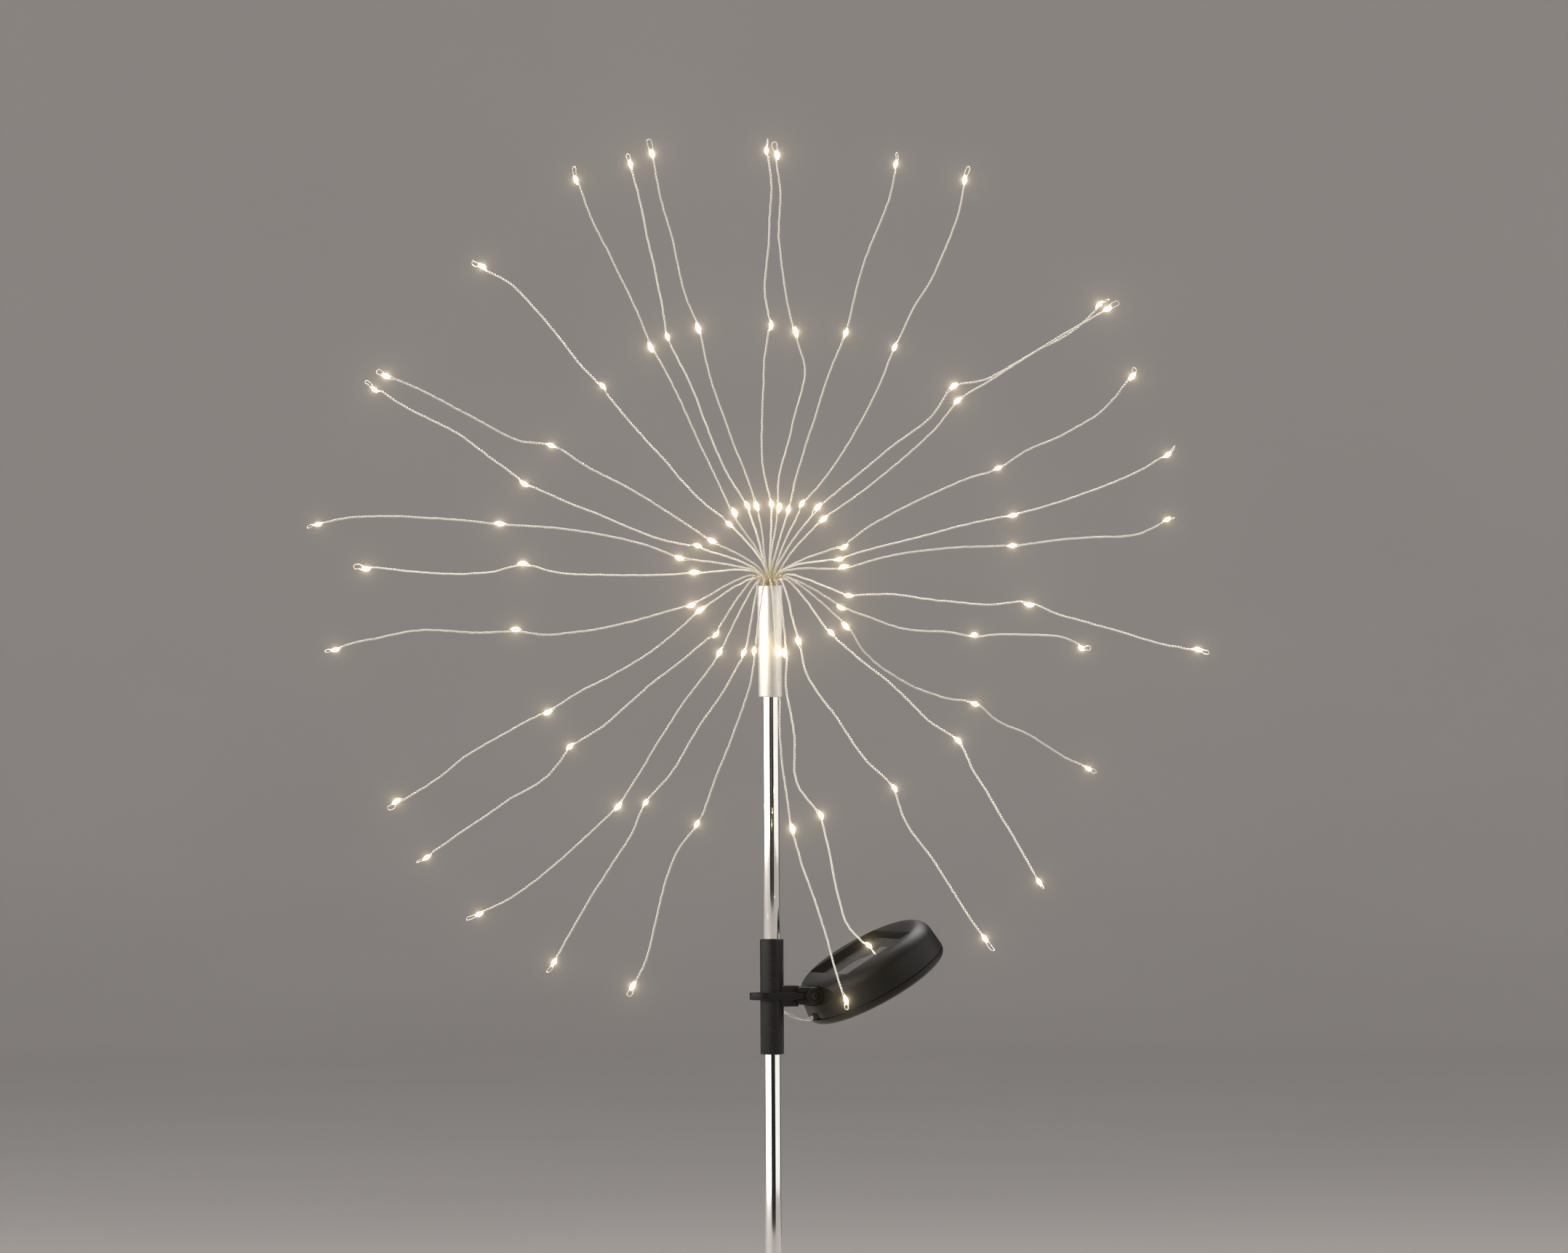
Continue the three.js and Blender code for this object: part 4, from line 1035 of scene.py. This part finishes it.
def make_light_wire(number):
    """A twisted pair along the CAD wire's line, open round each LED, with a loop at its tip."""
    node = f"light_wire_{number:02d}"
    chance = random.Random(700 + number)
    middles, leds = centreline(frame["nodes"][node])
    line = smooth_line(middles, STEP)[:-TAIL_CUT]
    marks = led_marks(line, middles, leds)
    seed = Vector((number * 7.3, number * 3.1, 0))
    last = len(line) - 1
    side = any_way(chance)
    kinks = [any_way(chance) * KINK for _ in marks]
    for i, point in enumerate(line):
        ease = min(1.0, i / 40)
        wobble = noise.noise_vector(point * 0.055 + seed) * 0.5
        wobble += noise.noise_vector(point * 0.3 + seed) * 0.2
        beyond = max(0.0, (i - marks[2]) * STEP - 2.5)
        line[i] = point + wobble * ease + side * (beyond ** 2 * TAIL_BEND)
        for mark, kink in zip(marks, kinks):
            line[i] += kink * nearness(abs(i - mark) * STEP, 0.8, 3.2)
    frames = frames_along(line)
    twist = chance.uniform(0, TAU)
    strands = ([], [])
    spreads = []
    angles = []
    for i in range(last + 1):
        opened = max(nearness(abs(i - m) * STEP, LED_WINDOW - 1) for m in marks)
        tail = 1.0 if i > marks[2] else 0.0
        looped = tail * nearness((last - i) * STEP, 1.5, 3.0)
        spread = PAIR_SPREAD + (LED_SPREAD - PAIR_SPREAD) * max(opened, tail * 0.9)
        spreads.append(spread + (LOOP_SPREAD - spread) * looped)
        turning = 1 - max(nearness(abs(i - m) * STEP, LED_WINDOW) for m in marks)
        if i > marks[2]:
            turning = 0
        twist += TAU * STEP / PAIR_PITCH * turning
        angles.append(twist)
    for i, (centre, (across, up)) in enumerate(zip(line, frames)):
        away = across * math.cos(angles[i]) + up * math.sin(angles[i])
        strands[0].append(centre + away * spreads[i])
        strands[1].append(centre - away * spreads[i])
    ahead = (line[last] - line[last - 1]).normalized()
    away = (strands[0][last] - line[last]).normalized()
    turn = [line[last] + (away * math.cos(a) + ahead * math.sin(a) * 0.8) * spreads[last]
            for a in (math.pi * k / 8 for k in range(1, 8))]
    bm = bmesh.new()
    add_tube(bm, strands[0] + turn + strands[1][::-1], WIRE_RADIUS)
    piece_of(f"wire_pair_{number:02d}", bm, POLE, "mast", SILVER_WIRE, [node], sharp=80)
    drops = bmesh.new()
    for m in marks:
        away = (strands[0][m] - strands[1][m]).normalized()
        along = (line[m + 3] - line[m - 3]).normalized()
        add_drop(drops, line[m], along, away, chance)
    drop_piece = piece_of(f"led_drops_{number:02d}", drops, POLE, "mast", LED_RESIN, sharp=80)
    drop_piece.data.materials.append(LED_CHIP)


def add_drop(bm, centre, along, away, chance):
    """A clear resin drop with its LED chip, long along the wire and flat across the pair."""
    glow = bm.verts.layers.float.get("glow") or bm.verts.layers.float.new("glow")
    thin = along.cross(away).normalized()
    rows, columns = 12, 14
    skew = chance.uniform(-0.25, 0.25)
    long = DROP_LENGTH * chance.uniform(0.92, 1.08)
    rings = []
    for r in range(1, rows):
        t = math.cos(math.pi * r / rows)
        girth = math.sqrt(1 - t * t) ** 0.8 * (1 + skew * t)
        ring = []
        for c in range(columns):
            angle = TAU * c / columns
            place = centre + along * (t * long) + away * (girth * DROP_WIDE * math.cos(angle))
            vert = bm.verts.new(place + thin * (girth * DROP_THICK * math.sin(angle)))
            vert[glow] = 1 - abs(t)
            ring.append(vert)
        rings.append(ring)
    for low, high in zip(rings, rings[1:]):
        for c in range(columns):
            k = (c + 1) % columns
            bm.faces.new((low[c], low[k], high[k], high[c]))
    for ring, t in ((rings[0], 1), (rings[-1], -1)):
        tip = bm.verts.new(centre + along * (t * long))
        for c in range(columns):
            bm.faces.new((tip, ring[c], ring[(c + 1) % columns]))
    chip = bmesh.ops.create_cube(bm, size=1)["verts"]
    turn = Matrix((along, away, thin)).transposed().to_4x4()
    place = Matrix.Translation(centre) @ turn @ Matrix.Diagonal((1.5, 0.8, 0.5, 1))
    bmesh.ops.transform(bm, matrix=place, verts=chip)
    for face in {face for vert in chip for face in vert.link_faces}:
        face.material_index = 1
    bmesh.ops.recalc_face_normals(bm, faces=bm.faces)


for wire_number in range(1, 31):
    make_light_wire(wire_number)


# ---- studio --------------------------------------------------------------------------------------

FLOOR_Z = -0.171


def make_bowl():
    """A pale floor that curves up into a wall all round."""
    radius, height, bend = 12.5, 8.0, 3.0
    corner = arc((radius - bend, bend), bend, -90, 0, 16)[1:]
    profile = [(0, 0), (radius - bend, 0), *corner, (radius, height)]
    bm = bmesh.new()
    columns = []
    for i in range(96):
        angle = TAU * i / 96
        across, along = math.cos(angle), math.sin(angle)
        columns.append([bm.verts.new((r * across, r * along, z + FLOOR_Z)) for r, z in profile])
    for i in range(96):
        here, there = columns[i], columns[(i + 1) % 96]
        for j in range(len(profile) - 1):
            bm.faces.new((here[j], there[j], there[j + 1], here[j + 1]))
    bmesh.ops.remove_doubles(bm, verts=bm.verts, dist=1e-5)
    for face in bm.faces:
        face.smooth = True
    bmesh.ops.recalc_face_normals(bm, faces=bm.faces)
    mesh = bpy.data.meshes.new("bowl")
    bm.to_mesh(mesh)
    bm.free()
    look = Look("pale_paper", roughness=0.9)
    look.color(look.ramp(look.noise(2, 3), [(0.3, (0.5, 0.468, 0.446)), (0.7, (0.52, 0.487, 0.464))]))
    mesh.materials.append(look.material)
    bowl = bpy.data.objects.new("bowl", mesh)
    bpy.context.scene.collection.objects.link(bowl)


def make_card(name, azimuth, distance, width, height, z):
    """A dark card that only reflections see. Azimuth is counted from the front, to the right."""
    bm = bmesh.new()
    bmesh.ops.create_grid(bm, x_segments=1, y_segments=1, size=0.5)
    mesh = bpy.data.meshes.new(name)
    bm.to_mesh(mesh)
    bm.free()
    look = Look("dark_card", roughness=1.0, color=(0.01, 0.01, 0.01))
    mesh.materials.append(look.material)
    card = bpy.data.objects.new(name, mesh)
    bpy.context.scene.collection.objects.link(card)
    angle = math.radians(azimuth)
    place = Vector((math.sin(angle) * distance, -math.cos(angle) * distance, z))
    turn = (place - Vector((0, 0, z))).to_track_quat("Z", "Y").to_matrix().to_4x4()
    card.matrix_world = Matrix.Translation(place) @ turn @ Matrix.Diagonal((width, height, 1, 1))
    card.visible_camera = False
    card.visible_diffuse = False
    card.visible_shadow = False
    card.visible_transmission = False


def make_light(name, azimuth, distance, z, size, power, color):
    """A soft box that faces the middle of the object. Azimuth is counted as for a card."""
    data = bpy.data.lights.new(name, "AREA")
    data.shape = "RECTANGLE"
    data.size, data.size_y = size
    data.energy = power
    data.color = color
    light = bpy.data.objects.new(name, data)
    bpy.context.scene.collection.objects.link(light)
    angle = math.radians(azimuth)
    place = Vector((math.sin(angle) * distance, -math.cos(angle) * distance, z))
    turn = (Vector((0, 0, 0.3)) - place).to_track_quat("-Z", "Y").to_matrix().to_4x4()
    light.matrix_world = Matrix.Translation(place) @ turn
    light.visible_camera = False


make_bowl()
make_card("front_card", 10, 2.6, 2.8, 5.0, 1.2)
make_card("edge_card", 158, 4.0, 2.2, 5.0, 1.2)
make_light("left_box", -62, 6.0, 1.6, (12.4, 5.6), 540, (1.0, 0.97, 0.93))
make_light("right_box", 82, 6.4, 1.6, (11.6, 5.6), 168, (1.0, 0.98, 0.96))
make_light("top_box", 160, 2.2, 3.4, (2.2, 2.2), 110, (1.0, 0.97, 0.94))

world = bpy.data.worlds.new("world")
world.use_nodes = True
world.node_tree.nodes["Background"].inputs["Color"].default_value = (0.9, 0.92, 0.95, 1)
world.node_tree.nodes["Background"].inputs["Strength"].default_value = 0.48
bpy.context.scene.world = world
bpy.context.scene.view_settings.view_transform = "Standard"


def make_glow():
    """The soft halo that a lens draws round each lit LED, added to the finished picture."""
    scene = bpy.context.scene
    scene.use_nodes = True
    tree = scene.node_tree
    tree.nodes.clear()
    picture = tree.nodes.new("CompositorNodeRLayers")
    glare = tree.nodes.new("CompositorNodeGlare")
    glare.glare_type = "BLOOM"
    glare.quality = "HIGH"
    glare.inputs["Threshold"].default_value = 3.0
    glare.inputs["Strength"].default_value = 1.0
    glare.inputs["Size"].default_value = 0.5
    out = tree.nodes.new("CompositorNodeComposite")
    tree.links.new(picture.outputs["Image"], glare.inputs["Image"])
    tree.links.new(glare.outputs["Image"], out.inputs["Image"])


make_glow()
